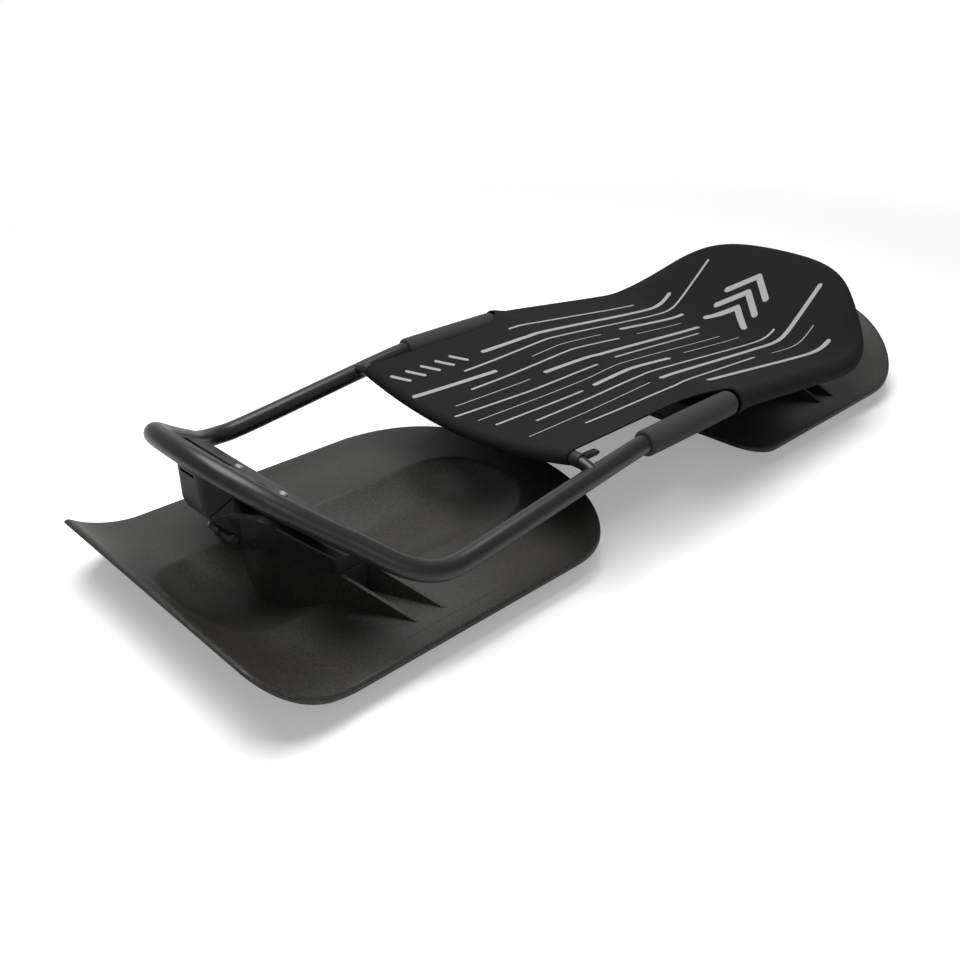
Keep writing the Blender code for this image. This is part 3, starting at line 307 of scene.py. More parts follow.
# %% Finishes of the hard pieces
tube_paint = finish("painted_tube", (0.0085, 0.0081, 0.0076), (0.0135, 0.0128, 0.0120), 0.36, 0.05, 700,
                    0.00003)
plate_paint = finish("plate_paint", (0.0080, 0.0076, 0.0072), (0.0120, 0.0114, 0.0108), 0.55, 0.05, 700,
                     0.00003, specular=0.30)
ski_plastic = finish("ski_plastic", (0.017, 0.0162, 0.0147), (0.036, 0.0345, 0.0318), 0.47, 0.06, 430,
                     0.00022, specular=0.4, speckle=0.5)
moulded_black = finish("moulded_black", (0.008, 0.008, 0.008), (0.012, 0.012, 0.012), 0.50, 0.06, 800,
                       0.00005, specular=0.42)
grip_foam = finish("grip_foam", (0.025, 0.025, 0.025), (0.036, 0.036, 0.036), 0.85, 0.06, 420, 0.00022)
bright_zinc = finish("bright_zinc", (0.50, 0.50, 0.51), (0.60, 0.60, 0.60), 0.28, 0.10, 500, 0.00002,
                     metallic=1.0)
urethane = finish("urethane", (0.26, 0.05, 0.028), (0.32, 0.07, 0.036), 0.45, 0.05, 300, 0.00002)
nylon = finish("nylon", (0.55, 0.53, 0.47), (0.62, 0.60, 0.54), 0.45, 0.05, 400, 0.00002)
seal_rubber = finish("seal_rubber", (0.014, 0.014, 0.014), (0.020, 0.020, 0.020), 0.75, 0.05, 500, 0.00004)
print("finishes", [material.name for material in (tube_paint, plate_paint, ski_plastic, moulded_black)])

# %% [markdown]
# ## Finishes on the measured pieces
# Pieces whose measured shape is already right, such as the screws, the steering blocks and the plates, keep
# it and only get their finish. The finish is found by a word in the piece's name. The list is read from the
# top, so the longer words come before the shorter ones that they hold.

# %% Dress the measured pieces
by_word = {
    "head_screw": bright_zinc, "kingpin": bright_zinc, "ski_dowel": bright_zinc, "latch_pin": bright_zinc,
    "frame_joiner": bright_zinc, "latch_ring": seal_rubber, "pivot_bush": urethane, "thrust_washer": nylon,
    "head": moulded_black, "hanger": moulded_black, "latch_knob": moulded_black, "collar": moulded_black,
    "cross_plate": plate_paint, "hoop": tube_paint, "rod": tube_paint, "grip": grip_foam, "ski": ski_plastic,
    "sling": moulded_black,
}
for name, node in nodes.items():
    material = next(m for word, m in by_word.items() if word in name)
    node.data.materials.clear()
    node.data.materials.append(material)
print("dressed", len(nodes), "measured pieces")

# %% [markdown]
# ## Frame hoops
# Each end of the frame is one length of tube. It leaves the grip level, dips, and turns in and up to the bar
# that the hands or the deck's end hold. Three cubic curves a side give its centre line, and a circle carried
# along them gives the tube. The measured model has the same line with fewer points.

# %% Centre lines of the hoops
TUBE_RADIUS = 0.011
HALF_TRACK = 0.2035
GRIP_Y, GRIP_LENGTH, GRIP_RADIUS, GRIP_Z = -0.046, 0.164, 0.0155, 0.130
REAR_LOW = 0.3212
SIDE_STEPS, CORNER_STEPS, BAR_STEPS = 22, 26, 30
MIRROR = np.array([-1, 1, 1])


def hoop_half(outward, low, corner, run, bar, handles):
    """Points from the end of the left grip to the middle of the bar, on three cubic curves that meet at the
    low point and at the corner. The handles say how far each curve's inner points stand from its ends."""
    slope, dip, corner_in, corner_out, bar_in = handles
    along = np.array([0, outward, 0.0])
    run = unit(np.array(run, float))
    grip = np.array([HALF_TRACK, GRIP_Y + outward * GRIP_LENGTH / 2, GRIP_Z])
    low = np.array([HALF_TRACK, *low])
    corner = np.array(corner)
    bar = np.array([0, *bar])
    side = bezier(grip, grip + along * slope, low - along * slope, low, SIDE_STEPS)
    turn = bezier(low, low + along * dip, corner - run * corner_in, corner, CORNER_STEPS)
    end = bezier(corner, corner + run * corner_out, bar + np.array([bar_in, 0, 0]), bar, BAR_STEPS)
    return np.concatenate([side, turn[1:], end[1:]])


def both_sides(half):
    """The left half of a path and its mirror image, as one path."""
    return np.concatenate([half, (half * MIRROR)[-2::-1]])


front_half = hoop_half(-1, (-0.407, 0.098), (0.150, -0.490, 0.135), (-1, -1.1, 0.8), (-0.5686, 0.2016),
                       (0.025, 0.0464, 0.0342, 0.0648, 0.0832))
rear_half = hoop_half(1, (REAR_LOW, 0.0986), (0.160, 0.411, 0.1375), (-1, 0.8, 0.9), (0.4678, 0.1838),
                      (0.025, 0.0455, 0.0411, 0.0649, 0.1006))
print("points a side", len(front_half), len(rear_half))

# %% [markdown]
# ## Tubes of the frame
# The circle is carried along the left half, the bar and the right half in one go. A curve object with a
# bevel would give the same tube, but the deck's hems need the points of this line too. Thirty-two sides look
# round from a step away, and smooth shading hides the rest.

# %% Tubes of the hoops
for name, half, outward in (("front_hoop", front_half, -1), ("rear_hoop", rear_half, 1)):
    start = np.array([[HALF_TRACK, GRIP_Y + outward * GAP / 2, GRIP_Z]])
    path = both_sides(np.concatenate([start, half]))
    tube = piece(name + "_tube", shell(rounds(path, TUBE_RADIUS, full_turn(32))), tube_paint, "frame")
    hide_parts(name)

# %% [markdown]
# ## Grips
# A foam sleeve covers the joint of the two hoops on each side. It could be a bevelled cylinder, but a profile
# turned round the tube holds all of its form: a short soft shoulder at each end and a very slight barrel
# between them.

# %% Foam grips
def turned(profile, centre, axis, sides):
    """A profile of (radius, distance) pairs turned round an axis, 0 for X to 2 for Z, through a centre: the
    other two coordinates are the radius times the cosine and the sine."""
    radius, distance = np.transpose(profile)
    a = full_turn(sides)
    points = np.repeat(distance[:, None, None], sides, axis=1) * np.eye(3)[axis]
    first, second = (i for i in range(3) if i != axis)
    points[..., first] = radius[:, None] * np.cos(a)
    points[..., second] = radius[:, None] * np.sin(a)
    return points + centre


SHOULDER, BULGE = 0.0035, 0.0003
half = GRIP_LENGTH / 2
t = np.linspace(0, math.pi / 2, 7)
shoulder = np.stack([GRIP_RADIUS - SHOULDER * (1 - np.sin(t)), -half + SHOULDER * (1 - np.cos(t))], -1)
middle = np.linspace(-half + SHOULDER, half - SHOULDER, 30)[1:-1]
barrel = np.stack([GRIP_RADIUS + BULGE * np.cos(middle / half * math.pi / 2), middle], -1)
inner = TUBE_RADIUS + 0.0002
profile = np.concatenate([[[inner, -half]], shoulder, barrel, shoulder[::-1] * [1, -1], [[inner, half]]])
profile[:, 1] += GRIP_Y
for name, x in (("left_grip", HALF_TRACK), ("right_grip", -HALF_TRACK)):
    foam = piece(name + "_foam", shell(turned(profile, (x, 0, GRIP_Z), 1, 40)), grip_foam, "frame")
    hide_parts(name)

# %% [markdown]
# ## Deck rod
# A thinner rod crosses the frame at the front of the deck. It bows down towards its middle, as the fabric
# does, and its two short ends run into the side tubes. It is a circle carried along that line, like the
# frame.

# %% Deck rod
ROD_RADIUS, ROD_Y, ROD_END_Z = 0.007, -0.212, 0.1315
ROD_BOW, ROD_SAG, ROD_DROOP = 0.172, 0.0235, 0.0070
ACROSS = 2 * BAR_STEPS + 1


def rod_height(x):
    """The bow is a parabola of the sideways distance. Past it the ends drop by the square of the rest, so
    that they run into the middle of the side tubes."""
    bow = ROD_SAG * (1 - np.minimum(np.abs(x) / ROD_BOW, 1) ** 2)
    past = np.maximum(np.abs(x) - ROD_BOW, 0) / (HALF_TRACK - ROD_BOW)
    return ROD_END_Z - bow - ROD_DROOP * past ** 2


stub = np.linspace(ROD_BOW, HALF_TRACK, 9)[1:]
xs = np.concatenate([-stub[::-1], np.linspace(-ROD_BOW, ROD_BOW, ACROSS), stub])
rod_path = np.stack([xs, np.full_like(xs, ROD_Y), rod_height(xs)], -1)
rod = piece("deck_rod_bar", shell(rounds(rod_path, ROD_RADIUS, full_turn(24))), tube_paint, "frame")
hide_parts("deck_rod")

# %% [markdown]
# ## Hem stops
# A small moulded stop sits on the rod where the hem ends, so that the cloth can't creep outwards. Its tail
# lies behind the cloth's corner. The ring is a profile turned round the rod, and the tail a rounded tab.

# %% Hem stops
STOP_X = ROD_BOW + 0.0015
TAB_TIP, TAB_ROOT, TAB_ROUND = ROD_Y + 0.030, ROD_Y + 0.0068, 0.003
ring = np.array([(0.0072, 0.0), (0.0080, 0.0), (0.0083, 0.0006), (0.0083, 0.0110), (0.0078, 0.0118),
                 (0.0072, 0.0118)]) + [0, STOP_X]
a = np.linspace(-math.pi / 2, math.pi / 2, 9)
tab_y = np.concatenate([[TAB_ROOT], TAB_TIP + TAB_ROUND * np.cos(a), [TAB_ROOT]])
tab_z = np.concatenate([[-0.0040], TAB_ROUND * np.sin(a) - 0.001, [0.0034]])
x = np.array([0.0024, 0.0032, 0.0088, 0.0096]) + STOP_X
inset = np.array([0.8, 1.0, 1.0, 0.8])
tab = np.stack(np.broadcast_arrays(x[:, None], tab_y, ROD_END_Z + tab_z * inset[:, None]), -1)
points, faces = joined([shell(turned(ring, (0, ROD_Y, ROD_END_Z), 0, 32)), shell(tab)])
for name, side in (("left_hem_collar", 1), ("right_hem_collar", -1)):
    part = points * [side, 1, 1], faces
    stop = piece(name.replace("collar", "stop"), part, moulded_black, "frame", smooth=30)
    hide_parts(name)

# %% [markdown]
# ## Deck fabric
# The deck is one panel of heavy coated fabric, hemmed round the rod in front and round the rear hoop behind.
# It is stretched, so it can be worked out instead of simulated: a patch between its four borders gives the
# plan, and the height is a sag between the sides that turns smoothly into the rise to the rear bar.

# %% Borders of the deck
THICKNESS = 0.0018
MOUTH_Y, MOUTH_RADIUS, MOUTH_LENGTH = 0.039, 0.0165, 0.030
WRAP = math.radians(315)
ROUND_HEM, ROUND_ROD = 25, 19
LEAVE_MIDDLE, LEAVE_SIDE, LEAVE_FROM, LEAVE_OVER = 50, 75, 0.06, 0.14
rear_side = rear_half[:SIDE_STEPS + 1]


def leave_angle(x):
    """Where the fabric leaves the tube, measured up from the inward direction: more upright at the sides."""
    to_side = ease((np.abs(x) - LEAVE_FROM) / LEAVE_OVER)
    return np.radians(LEAVE_MIDDLE + (LEAVE_SIDE - LEAVE_MIDDLE) * to_side)


mouth_z = np.interp(MOUTH_Y, rear_side[:, 1], rear_side[:, 2])
behind = rear_half[rear_half[:, 1] > MOUTH_Y + 0.004]
tube_half = np.concatenate([[[HALF_TRACK, MOUTH_Y, mouth_z]], behind])
side_count = len(tube_half) - 1 - BAR_STEPS
tube_line = both_sides(tube_half)
snug = TUBE_RADIUS + GAP + THICKNESS / 2
from_mouth = np.linalg.norm(tube_line - tube_line[0], axis=1)
from_mouth = np.minimum(from_mouth, from_mouth[::-1])
hem_radius = snug + (MOUTH_RADIUS - snug) * (1 - ease(from_mouth / MOUTH_LENGTH))
hem = rounds(tube_line, hem_radius, np.linspace(0, WRAP, ROUND_HEM), leave_angle(tube_line[:, 0]))
rod_xs = np.linspace(ROD_BOW, -ROD_BOW, ACROSS)
rod_hem = np.stack([rod_xs, np.full_like(rod_xs, ROD_Y), rod_height(rod_xs)], -1)
turn = math.radians(90) + np.linspace(0, WRAP, ROUND_ROD)
round_rod = np.stack([0 * turn, np.cos(turn), np.sin(turn)], -1) * (ROD_RADIUS + GAP + THICKNESS / 2)
rod_hem = rod_hem[:, None] + round_rod[None]
print("hem points", hem.shape, rod_hem.shape)

# %% [markdown]
# ## Panel in plan
# Beside each grip the panel has a free edge, which leaves room for the hand and then swings out to the tube
# by the cube of the distance. With the two hems that makes four borders. A Coons patch fills them: it needs
# no inner points, and it meets each border exactly, so the panel and the hems can share their points.

# %% Plan of the panel
SWING_FROM, FREE_STEPS = -0.052, 33


def free_edge(y):
    """The side edge beside the grip: straight, then swinging out to the tube behind the grip."""
    mouth = hem[0, 0]
    swing = np.maximum((y - SWING_FROM) / (MOUTH_Y - SWING_FROM), 0) ** 3
    top = rod_hem[0, 0, 2]
    return np.stack([ROD_BOW + (mouth[0] - ROD_BOW) * swing, y, top + (mouth[2] - top) * swing], -1)


def patch(left, right, head, rear, u, v):
    """A Coons patch: the mix across plus the mix along, less the mix of the four corners."""
    u, v = u[None, :, None], v[:, None, None]
    across = left[:, None] * (1 - u) + right[:, None] * u
    along = head[None] * (1 - v) + rear[None] * v
    corners = (head[0] * (1 - u) + head[-1] * u) * (1 - v) + (rear[0] * (1 - u) + rear[-1] * u) * v
    return across + along - corners


ys = np.linspace(ROD_Y, MOUTH_Y, FREE_STEPS + 1)[:-1]
left = np.concatenate([free_edge(ys), hem[:side_count + 1, 0]])
left[0] = rod_hem[0, 0]
head = rod_hem[:, 0]
rear = hem[side_count:side_count + ACROSS, 0]
u = np.linspace(0, 1, ACROSS)
v = (left[:, 1] - left[0, 1]) / (left[-1, 1] - left[0, 1])
panel = patch(left, left * MIRROR, head, rear, u, v)
print("panel grid", panel.shape)

# %% [markdown]
# ## Height of the panel
# The stretched cloth sags a little between the side tubes and climbs to the rear bar. Both are simple
# surfaces, and the larger of the two is taken with a soft bend between them. What is then missing at the
# four borders is added back, and fades away from each border, so the cloth has no kink along its hems.

# %% Height of the panel
ABOVE_TUBE, EDGE_FROM, EDGE_FADE = 0.0125, -0.100, 0.035
RISE_SLOPE, BEND, SAG_REACH = 0.755, 0.010, 0.2
SAG_Y, SAG_DEPTH = (-0.204, 0.018, 0.338), (ROD_SAG, 0.015, 0.0075)


def deck_height(x, y):
    """Sag between the sides, then the rise to the rear bar; the two meet in a soft bend: half their sum plus
    half the root of their difference squared and a small constant."""
    tube_z = np.interp(np.clip(y, MOUTH_Y, REAR_LOW), rear_side[:, 1], rear_side[:, 2]) + ABOVE_TUBE
    rod_z = rod_hem[0, 0, 2]
    edge_z = rod_z + (tube_z - rod_z) * ease((y - EDGE_FROM) / (MOUTH_Y - EDGE_FROM))
    low = edge_z - np.interp(y, SAG_Y, SAG_DEPTH) * (1 - np.minimum(np.abs(x) / SAG_REACH, 1) ** 2)
    rise = rear[None, :, 2] - RISE_SLOPE * (rear[None, :, 1] - y)
    return (low + rise + np.sqrt((low - rise) ** 2 + BEND ** 2)) / 2


formed = deck_height(panel[..., 0], panel[..., 1])
formed += (head[:, 2] - formed[0]) * (1 - v[:, None]) ** 3 + (rear[:, 2] - formed[-1]) * v[:, None] ** 3
for edge in (0, -1):
    from_edge = np.abs(panel[..., 0] - panel[:, edge, 0][:, None])
    formed += (left[:, 2] - formed[:, edge])[:, None] * np.exp(-(from_edge / EDGE_FADE) ** 2)
panel[..., 2] = formed
print("panel", panel.shape, "lowest", round(float(panel[..., 2].min()), 4))

# %% [markdown]
# ## Printed lines and weave
# The cloth carries printed lines. A picture could hold them, but lines drawn by nodes stay sharp from close
# by. One node group draws a line with round ends: it finds the nearest place on the line to a point in plan,
# and compares the distance with half the line's width. A second group gives the plain weave from the cloth's
# own UV map, which is in metres: the product of a sine along and a sine across.

# %% Node groups for the cloth
def vector_node(tree, operation, *values):
    """A Vector Math node fed by sockets or plain tuples."""
    node = tree.nodes.new("ShaderNodeVectorMath")
    node.operation = operation
    for socket, value in zip(node.inputs, values):
        feed(socket, value)
    return node


SHARPNESS, THREADS = 5000.0, 1100.0
line_group, line_in, line_out = new_group(
    "printed line", [("Plan", None), ("Start", None), ("End", None), ("Half Width", 0.002)], ["Mask"])
to_point = vector_node(line_group, "SUBTRACT", line_in.outputs["Plan"], line_in.outputs["Start"]).outputs[0]
run = vector_node(line_group, "SUBTRACT", line_in.outputs["End"], line_in.outputs["Start"]).outputs[0]
ahead = vector_node(line_group, "DOT_PRODUCT", to_point, run).outputs["Value"]
whole = vector_node(line_group, "DOT_PRODUCT", run, run).outputs["Value"]
share = math_node(line_group, "DIVIDE", ahead, whole, clamp=True)
reached = give(vector_node(line_group, "SCALE", run), Scale=share).outputs[0]
away = vector_node(line_group, "DISTANCE", to_point, reached).outputs["Value"]
inside = math_node(line_group, "SUBTRACT", line_in.outputs["Half Width"], away)
give(line_out, Mask=math_node(line_group, "MULTIPLY", inside, SHARPNESS, clamp=True))

weave, weave_in, weave_out = new_group("plain weave", [("Cloth", None), ("Threads", THREADS)], ["Height"])
split = give(weave.nodes.new("ShaderNodeSeparateXYZ"), Vector=weave_in.outputs["Cloth"])
waves = []
for axis in ("X", "Y"):
    turns = math_node(weave, "MULTIPLY", split.outputs[axis], weave_in.outputs["Threads"])
    waves.append(math_node(weave, "SINE", math_node(weave, "MULTIPLY", turns, 2 * math.pi)))
give(weave_out, Height=math_node(weave, "MULTIPLY", *waves))
print("groups", line_group.name, weave.name)

# %% [markdown]
# ## Lines of the print
# Long light lines in three weights run down the deck in lanes 25 mm apart and bend a little on the way. Each
# row holds the lane and the place of a line's start, then of its end. Three peaks stand at the rear and five
# short strokes at one front corner.

# %% Lines of the print
LANE = 0.025
THICK, MEDIUM, THIN = 0.0035, 0.0019, 0.0009
lines = {
    THICK: [
        (-4.9, -0.058, -4.7, 0.024), (-4.7, 0.024, -4.85, 0.358), (-3.4, -0.212, -2.9, -0.085),
        (-3.0, 0.179, -2.85, 0.326), (-1.0, -0.039, -0.5, 0.055), (-0.5, 0.055, -0.8, 0.296),
        (2.0, -0.029, 2.15, 0.120), (4.15, 0.037, 3.9, 0.274), (3.9, 0.274, 4.0, 0.425),
        (6.1, 0.069, 6.5, 0.353)],
    MEDIUM: [
        (-6.0, 0.020, -5.9, 0.300), (-3.9, -0.115, -3.8, 0.002), (-3.8, 0.002, -3.9, 0.424),
        (-2.2, -0.143, -2.0, -0.024), (-2.0, -0.024, -1.85, 0.138), (0.3, 0.064, 0.0, 0.268),
        (-0.6, -0.208, -0.05, -0.100), (-0.05, -0.100, 0.4, 0.022), (1.5, -0.191, 2.0, -0.054),
        (2.7, -0.154, 3.1, 0.026), (3.1, 0.026, 3.1, 0.348), (4.9, -0.130, 5.4, 0.024),
        (5.4, 0.024, 4.9, 0.223)],
    THIN: [
        (-2.8, -0.017, -2.85, 0.128), (-1.9, 0.182, -1.9, 0.290), (-1.4, -0.189, -1.0, -0.069),
        (0.5, -0.197, 1.2, -0.015), (1.2, -0.015, 1.1, 0.283), (3.8, -0.196, 4.1, 0.014),
        (5.0, 0.265, 5.15, 0.368), (1.95, 0.163, 1.95, 0.301)],
}
strokes = [((x0 * LANE, y0, 0), (x1 * LANE, y1, 0), half_width)
           for half_width, rows in lines.items() for x0, y0, x1, y1 in rows]
PEAK_HALF, PEAK_RISE, PEAK_WEIGHT = 0.034, 0.030, 0.0046
peaks = [((side * PEAK_HALF, y, 0), (0, y + PEAK_RISE, 0), PEAK_WEIGHT)
         for y in (0.338, 0.364, 0.390) for side in (1, -1)]
TICK_FROM, TICK_TO, TICK_RISE, TICK_WEIGHT = -0.137, -0.119, 0.013, 0.0030
ticks = [((TICK_FROM, y, 0), (TICK_TO, y + TICK_RISE, 0), TICK_WEIGHT)
         for y in (-0.205, -0.180, -0.155, -0.130, -0.105)]
print("printed strokes", len(strokes), "peaks", len(peaks), "ticks", len(ticks))

# %% [markdown]
# ## Finish of the cloth
# The fabric is dull, nearly black and closely woven, and the print lies on its upper side only. So there are
# two finishes, of which the plain one goes on the under side. The weave is a second bump over the grain, and
# the masks of all lines are joined by taking the larger at each point, so crossing lines don't add up.

# %% Cloth finishes
PRINT, WEAVE_DEPTH = (0.38, 0.38, 0.38), 0.00008


def lines_mask(tree, plan, drawn):
    """The largest mask of the lines drawn, each of which is a start, an end and half a width."""
    mask = None
    for start, end, half_width in drawn:
        line = add_group(tree, line_group, Plan=plan, Start=start, End=end, Half_Width=half_width)
        one = line.outputs["Mask"]
        mask = one if mask is None else math_node(tree, "MAXIMUM", mask, one)
    return mask


def cloth_finish(name, drawn=()):
    """A woven finish with lines printed on it, seen in plan."""
    material = finish(name, (0.0100, 0.0100, 0.0102), (0.0138, 0.0138, 0.0140), 0.88, 0.05, 600, 0.00003,
                      specular=0.15)
    tree = material.node_tree
    shader = tree.nodes["Principled BSDF"]
    cloth = tree.nodes.new("ShaderNodeUVMap")
    cloth.uv_map = "cloth"
    threads = add_group(tree, weave, Cloth=cloth.outputs[0], Threads=THREADS)
    bump_over(shader.inputs["Normal"], threads.outputs["Height"], WEAVE_DEPTH, 0.4)
    if drawn:
        where = tree.nodes["Texture Coordinate"].outputs["Object"]
        plan = vector_node(tree, "MULTIPLY", where, (1.0, 1.0, 0.0)).outputs[0]
        mix_over(shader.inputs["Base Color"], lines_mask(tree, plan, drawn), PRINT)
    return material


printed_cloth = cloth_finish("deck_fabric", strokes + peaks + ticks)
plain_cloth = cloth_finish("deck_fabric_back")
print("cloth nodes", len(printed_cloth.node_tree.nodes))

# %% [markdown]
# ## Painted shade of the fine line moulded near the ski edges
# Each wing of the real skis has one fine sunk line beside its long edge. It is far too narrow to model, so
# the same line group paints the shade that falls inside it as a dark line, on the distance from the middle of
# the sled.

# %% Painted shade in the sunk lines of the skis
# The dark colour here is painted shade: the groove itself is the same plastic as the ski.
SUNK_WEIGHT, SUNK_PAINTED_SHADE = 0.0006, (0.004, 0.004, 0.004)
sunk = [((x, since, 0), (x, until, 0), SUNK_WEIGHT)
        for x, since, until in ((0.188, -0.462, -0.326), (0.186, 0.262, 0.384))]
tree = ski_plastic.node_tree
where = tree.nodes["Texture Coordinate"].outputs["Object"]
axes = give(tree.nodes.new("ShaderNodeSeparateXYZ"), Vector=where)
from_middle = math_node(tree, "ABSOLUTE", axes.outputs["X"])
plan = give(tree.nodes.new("ShaderNodeCombineXYZ"), X=from_middle, Y=axes.outputs["Y"]).outputs[0]
# Mixes the painted shade of the sunk lines into the ski's colour.
mix_over(tree.nodes["Principled BSDF"].inputs["Base Color"], lines_mask(tree, plan, sunk), SUNK_PAINTED_SHADE)
print("sunk lines", len(sunk), "a side")

# %% [markdown]
# ## The deck as one sheet
# The panel and the two hems share their borders, so the deck is one surface, as the real one is one length
# of cloth. It could be three meshes that overlap, but a single one has no seam to hide. Solidify gives it
# the cloth's thickness and puts the plain finish on the under side.

# %% Deck sheet
def modify(obj, name, kind, **settings):
    """A modifier with its settings."""
    modifier = obj.modifiers.new(name, kind)
    for setting, value in settings.items():
        setattr(modifier, setting, value)


def face_up(mesh):
    """Turns a surface over if most of it faces down."""
    if sum(face.normal.z * face.area for face in mesh.polygons) < 0:
        mesh.flip_normals()


def strip_uv(grid, first):
    """A hem's UV: distance along the tube, and distance round it, in metres, starting beyond the panel."""
    steps = np.linalg.norm(np.diff(grid[:, 0], axis=0), axis=1)
    along = np.concatenate([[0], np.cumsum(steps)])
    round_it = np.linalg.norm(np.diff(grid[0], axis=0), axis=1).mean() * np.arange(grid.shape[1])
    return np.stack(np.broadcast_arrays(along[:, None] + first, round_it[None, :]), -1).reshape(-1, 2)


grids = (panel, rod_hem, hem)
sheet_points, sheet_faces = joined([shell(g, closed=False) for g in grids])
uv = np.concatenate([panel[..., :2].reshape(-1, 2), strip_uv(rod_hem, 1.0), strip_uv(hem, 2.0)])
mesh = bpy.data.meshes.new("deck_cloth")
mesh.from_pydata(sheet_points.tolist(), [], sheet_faces)
layer = mesh.uv_layers.new(name="cloth")
corner = np.zeros(len(mesh.loops), np.int32)
mesh.loops.foreach_get("vertex_index", corner)
layer.data.foreach_set("uv", uv[corner].ravel())
tidy_mesh(mesh, 0.00002)
face_up(mesh)

deck = placed("deck_cloth", mesh)
mesh.materials.append(printed_cloth)
mesh.materials.append(plain_cloth)
mesh.shade_smooth()
modify(deck, "cloth thickness", "SOLIDIFY", thickness=THICKNESS, offset=0, use_even_offset=True,
       material_offset=1, material_offset_rim=1)
print("cloth thickness", THICKNESS)

# %% [markdown]
# ## Openings of the hem
# Where the steering head and the cross plate reach the rear hoop, the hem is cut open, as the real one is.
# The openings could be left out of the grid, but their edges cross its lines. So three simple blocks, a
# little larger than the pieces that they clear, are taken from the cloth by a Boolean.

# %% Openings of the hem
REAR_Y = 0.394
NOSE_HALF, NOSE_FOOT, NOSE_FRONT, NOSE_RIDGE, NOSE_BACK = 0.021, 0.150, -0.072, -0.064, -0.050
PLATE_TOP, PLATE_FOOT, PLATE_LENGTH = (-0.006, 0.1295), (0.041, 0.104), 0.060
PLATE_OUTER, PLATE_OUTER_FOOT, PLATE_OVER, PLATE_UNDER = 0.164, 0.193, 0.002, -0.009
NOSE_OVER, NOSE_UNDER, CLEAR, END_CLEAR, PLATE_TAB = 0.0025, 0.004, 0.0006, 0.001, 0.030


def prism(outline, x0, x1):
    """An outline of (y, z) pairs carried from one x to another."""
    y, z = np.asarray(outline, float).T
    return shell(np.stack([np.stack([np.full_like(y, x), y, z], -1) for x in (x0, x1)]))


def turned_to_rear(part):
    """From the rear unit's own frame to the sled's: half a turn about Z, then back along Y."""
    points, faces = part
    return points * [-1, -1, 1] + [0, REAR_Y, 0], faces


def nose_space():
    """The head's nose, grown by the clearance. Its top falls with the line from the bar to the plate."""
    bar_y, bar_z = REAR_Y - rear_half[-1, 1], rear_half[-1, 2]
    slope = (bar_z - PLATE_TOP[1]) / (PLATE_TOP[0] - bar_y)
    top = bar_z - (NOSE_RIDGE - bar_y) * slope + NOSE_OVER + CLEAR
    front, half = NOSE_FRONT - CLEAR, NOSE_HALF + CLEAR
    outline = [(front, NOSE_FOOT), (front, bar_z - NOSE_UNDER + CLEAR), (NOSE_RIDGE, top),
               (NOSE_BACK, top - (NOSE_BACK - NOSE_RIDGE) * slope), (NOSE_BACK, NOSE_FOOT)]
    return prism(outline, -half, half)


def plate_space(side):
    """One end of the cross plate, grown by the clearance: a slab that slopes down and spreads outwards."""
    tilt = math.atan2(PLATE_TOP[1] - PLATE_FOOT[1], PLATE_FOOT[0] - PLATE_TOP[0])
    down = np.array([-CLEAR, PLATE_LENGTH + CLEAR, PLATE_LENGTH + CLEAR, -CLEAR])
    above = np.array([PLATE_OVER + CLEAR, PLATE_OVER + CLEAR, PLATE_UNDER - CLEAR, PLATE_UNDER - CLEAR])
    y = PLATE_TOP[0] + down * math.cos(tilt) + above * math.sin(tilt)
    z = PLATE_TOP[1] - down * math.sin(tilt) + above * math.cos(tilt)
    edge = PLATE_OUTER + (PLATE_OUTER_FOOT - PLATE_OUTER) * down / PLATE_LENGTH
    return shell(np.stack([np.stack([side * x, y, z], -1) for x in (edge - PLATE_TAB, edge + END_CLEAR)]))


spaces = joined([nose_space(), plate_space(1), plate_space(-1)])
cutter = piece("hem openings", turned_to_rear(spaces), plain_cloth, "frame")
modify(deck, "hem openings", "BOOLEAN", operation="DIFFERENCE", solver="EXACT", object=cutter)
bpy.context.view_layer.update()
mesh = bpy.data.meshes.new_from_object(deck.evaluated_get(bpy.context.evaluated_depsgraph_get()))
deck.modifiers.clear()
deck.data = mesh
mesh.shade_smooth()
mesh.set_sharp_from_angle(angle=math.radians(50))
bpy.data.objects.remove(cutter, do_unlink=True)
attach(deck, "frame")
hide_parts("deck_sling")
print("deck", len(mesh.polygons), "faces")

# %% [markdown]
# ## Skis
# Each ski is one moulding. Flat wings lie inside a turned-down rim, a deep trough runs along the middle and
# makes the keel, and both ends curl up. It could be sculpted from a plane, but rings that pass from the rim
# to the keel follow its forms exactly. All rings come from two outlines with the same number of points, of
# the rim and of the trough.

# %% Outlines of the skis
SKI_WALL, RIM, KEEL = 0.0035, 0.0065, 0.024
WING = KEEL + RIM
TROUGH, FLOOR, FRONT_SLANT, TROUGH_ROUND = 0.086, 0.3, 0.040, 2.3
NOSE_STEPS, FRONT_SIDE, ALONG_SIDE, REAR_SIDE = 8, 28, 28, 28


def straight(width, since, until):
    """Points along a straight side, without its two ends."""
    side = np.linspace(since, until, ALONG_SIDE + 1)[1:-1]
    return np.stack([np.full_like(side, width), side], -1)


def rounded(width, start, length, power, count):
    """A quarter of |x|^p + |y|^p = 1 from the side to the middle, at a width and a length, which is negative
    towards the front."""
    a = np.linspace(0, math.pi / 2, count + 1)
    x = width * np.maximum(np.cos(a), 0) ** (2 / power)
    return np.stack([x, start + length * np.sin(a) ** (2 / power)], -1)


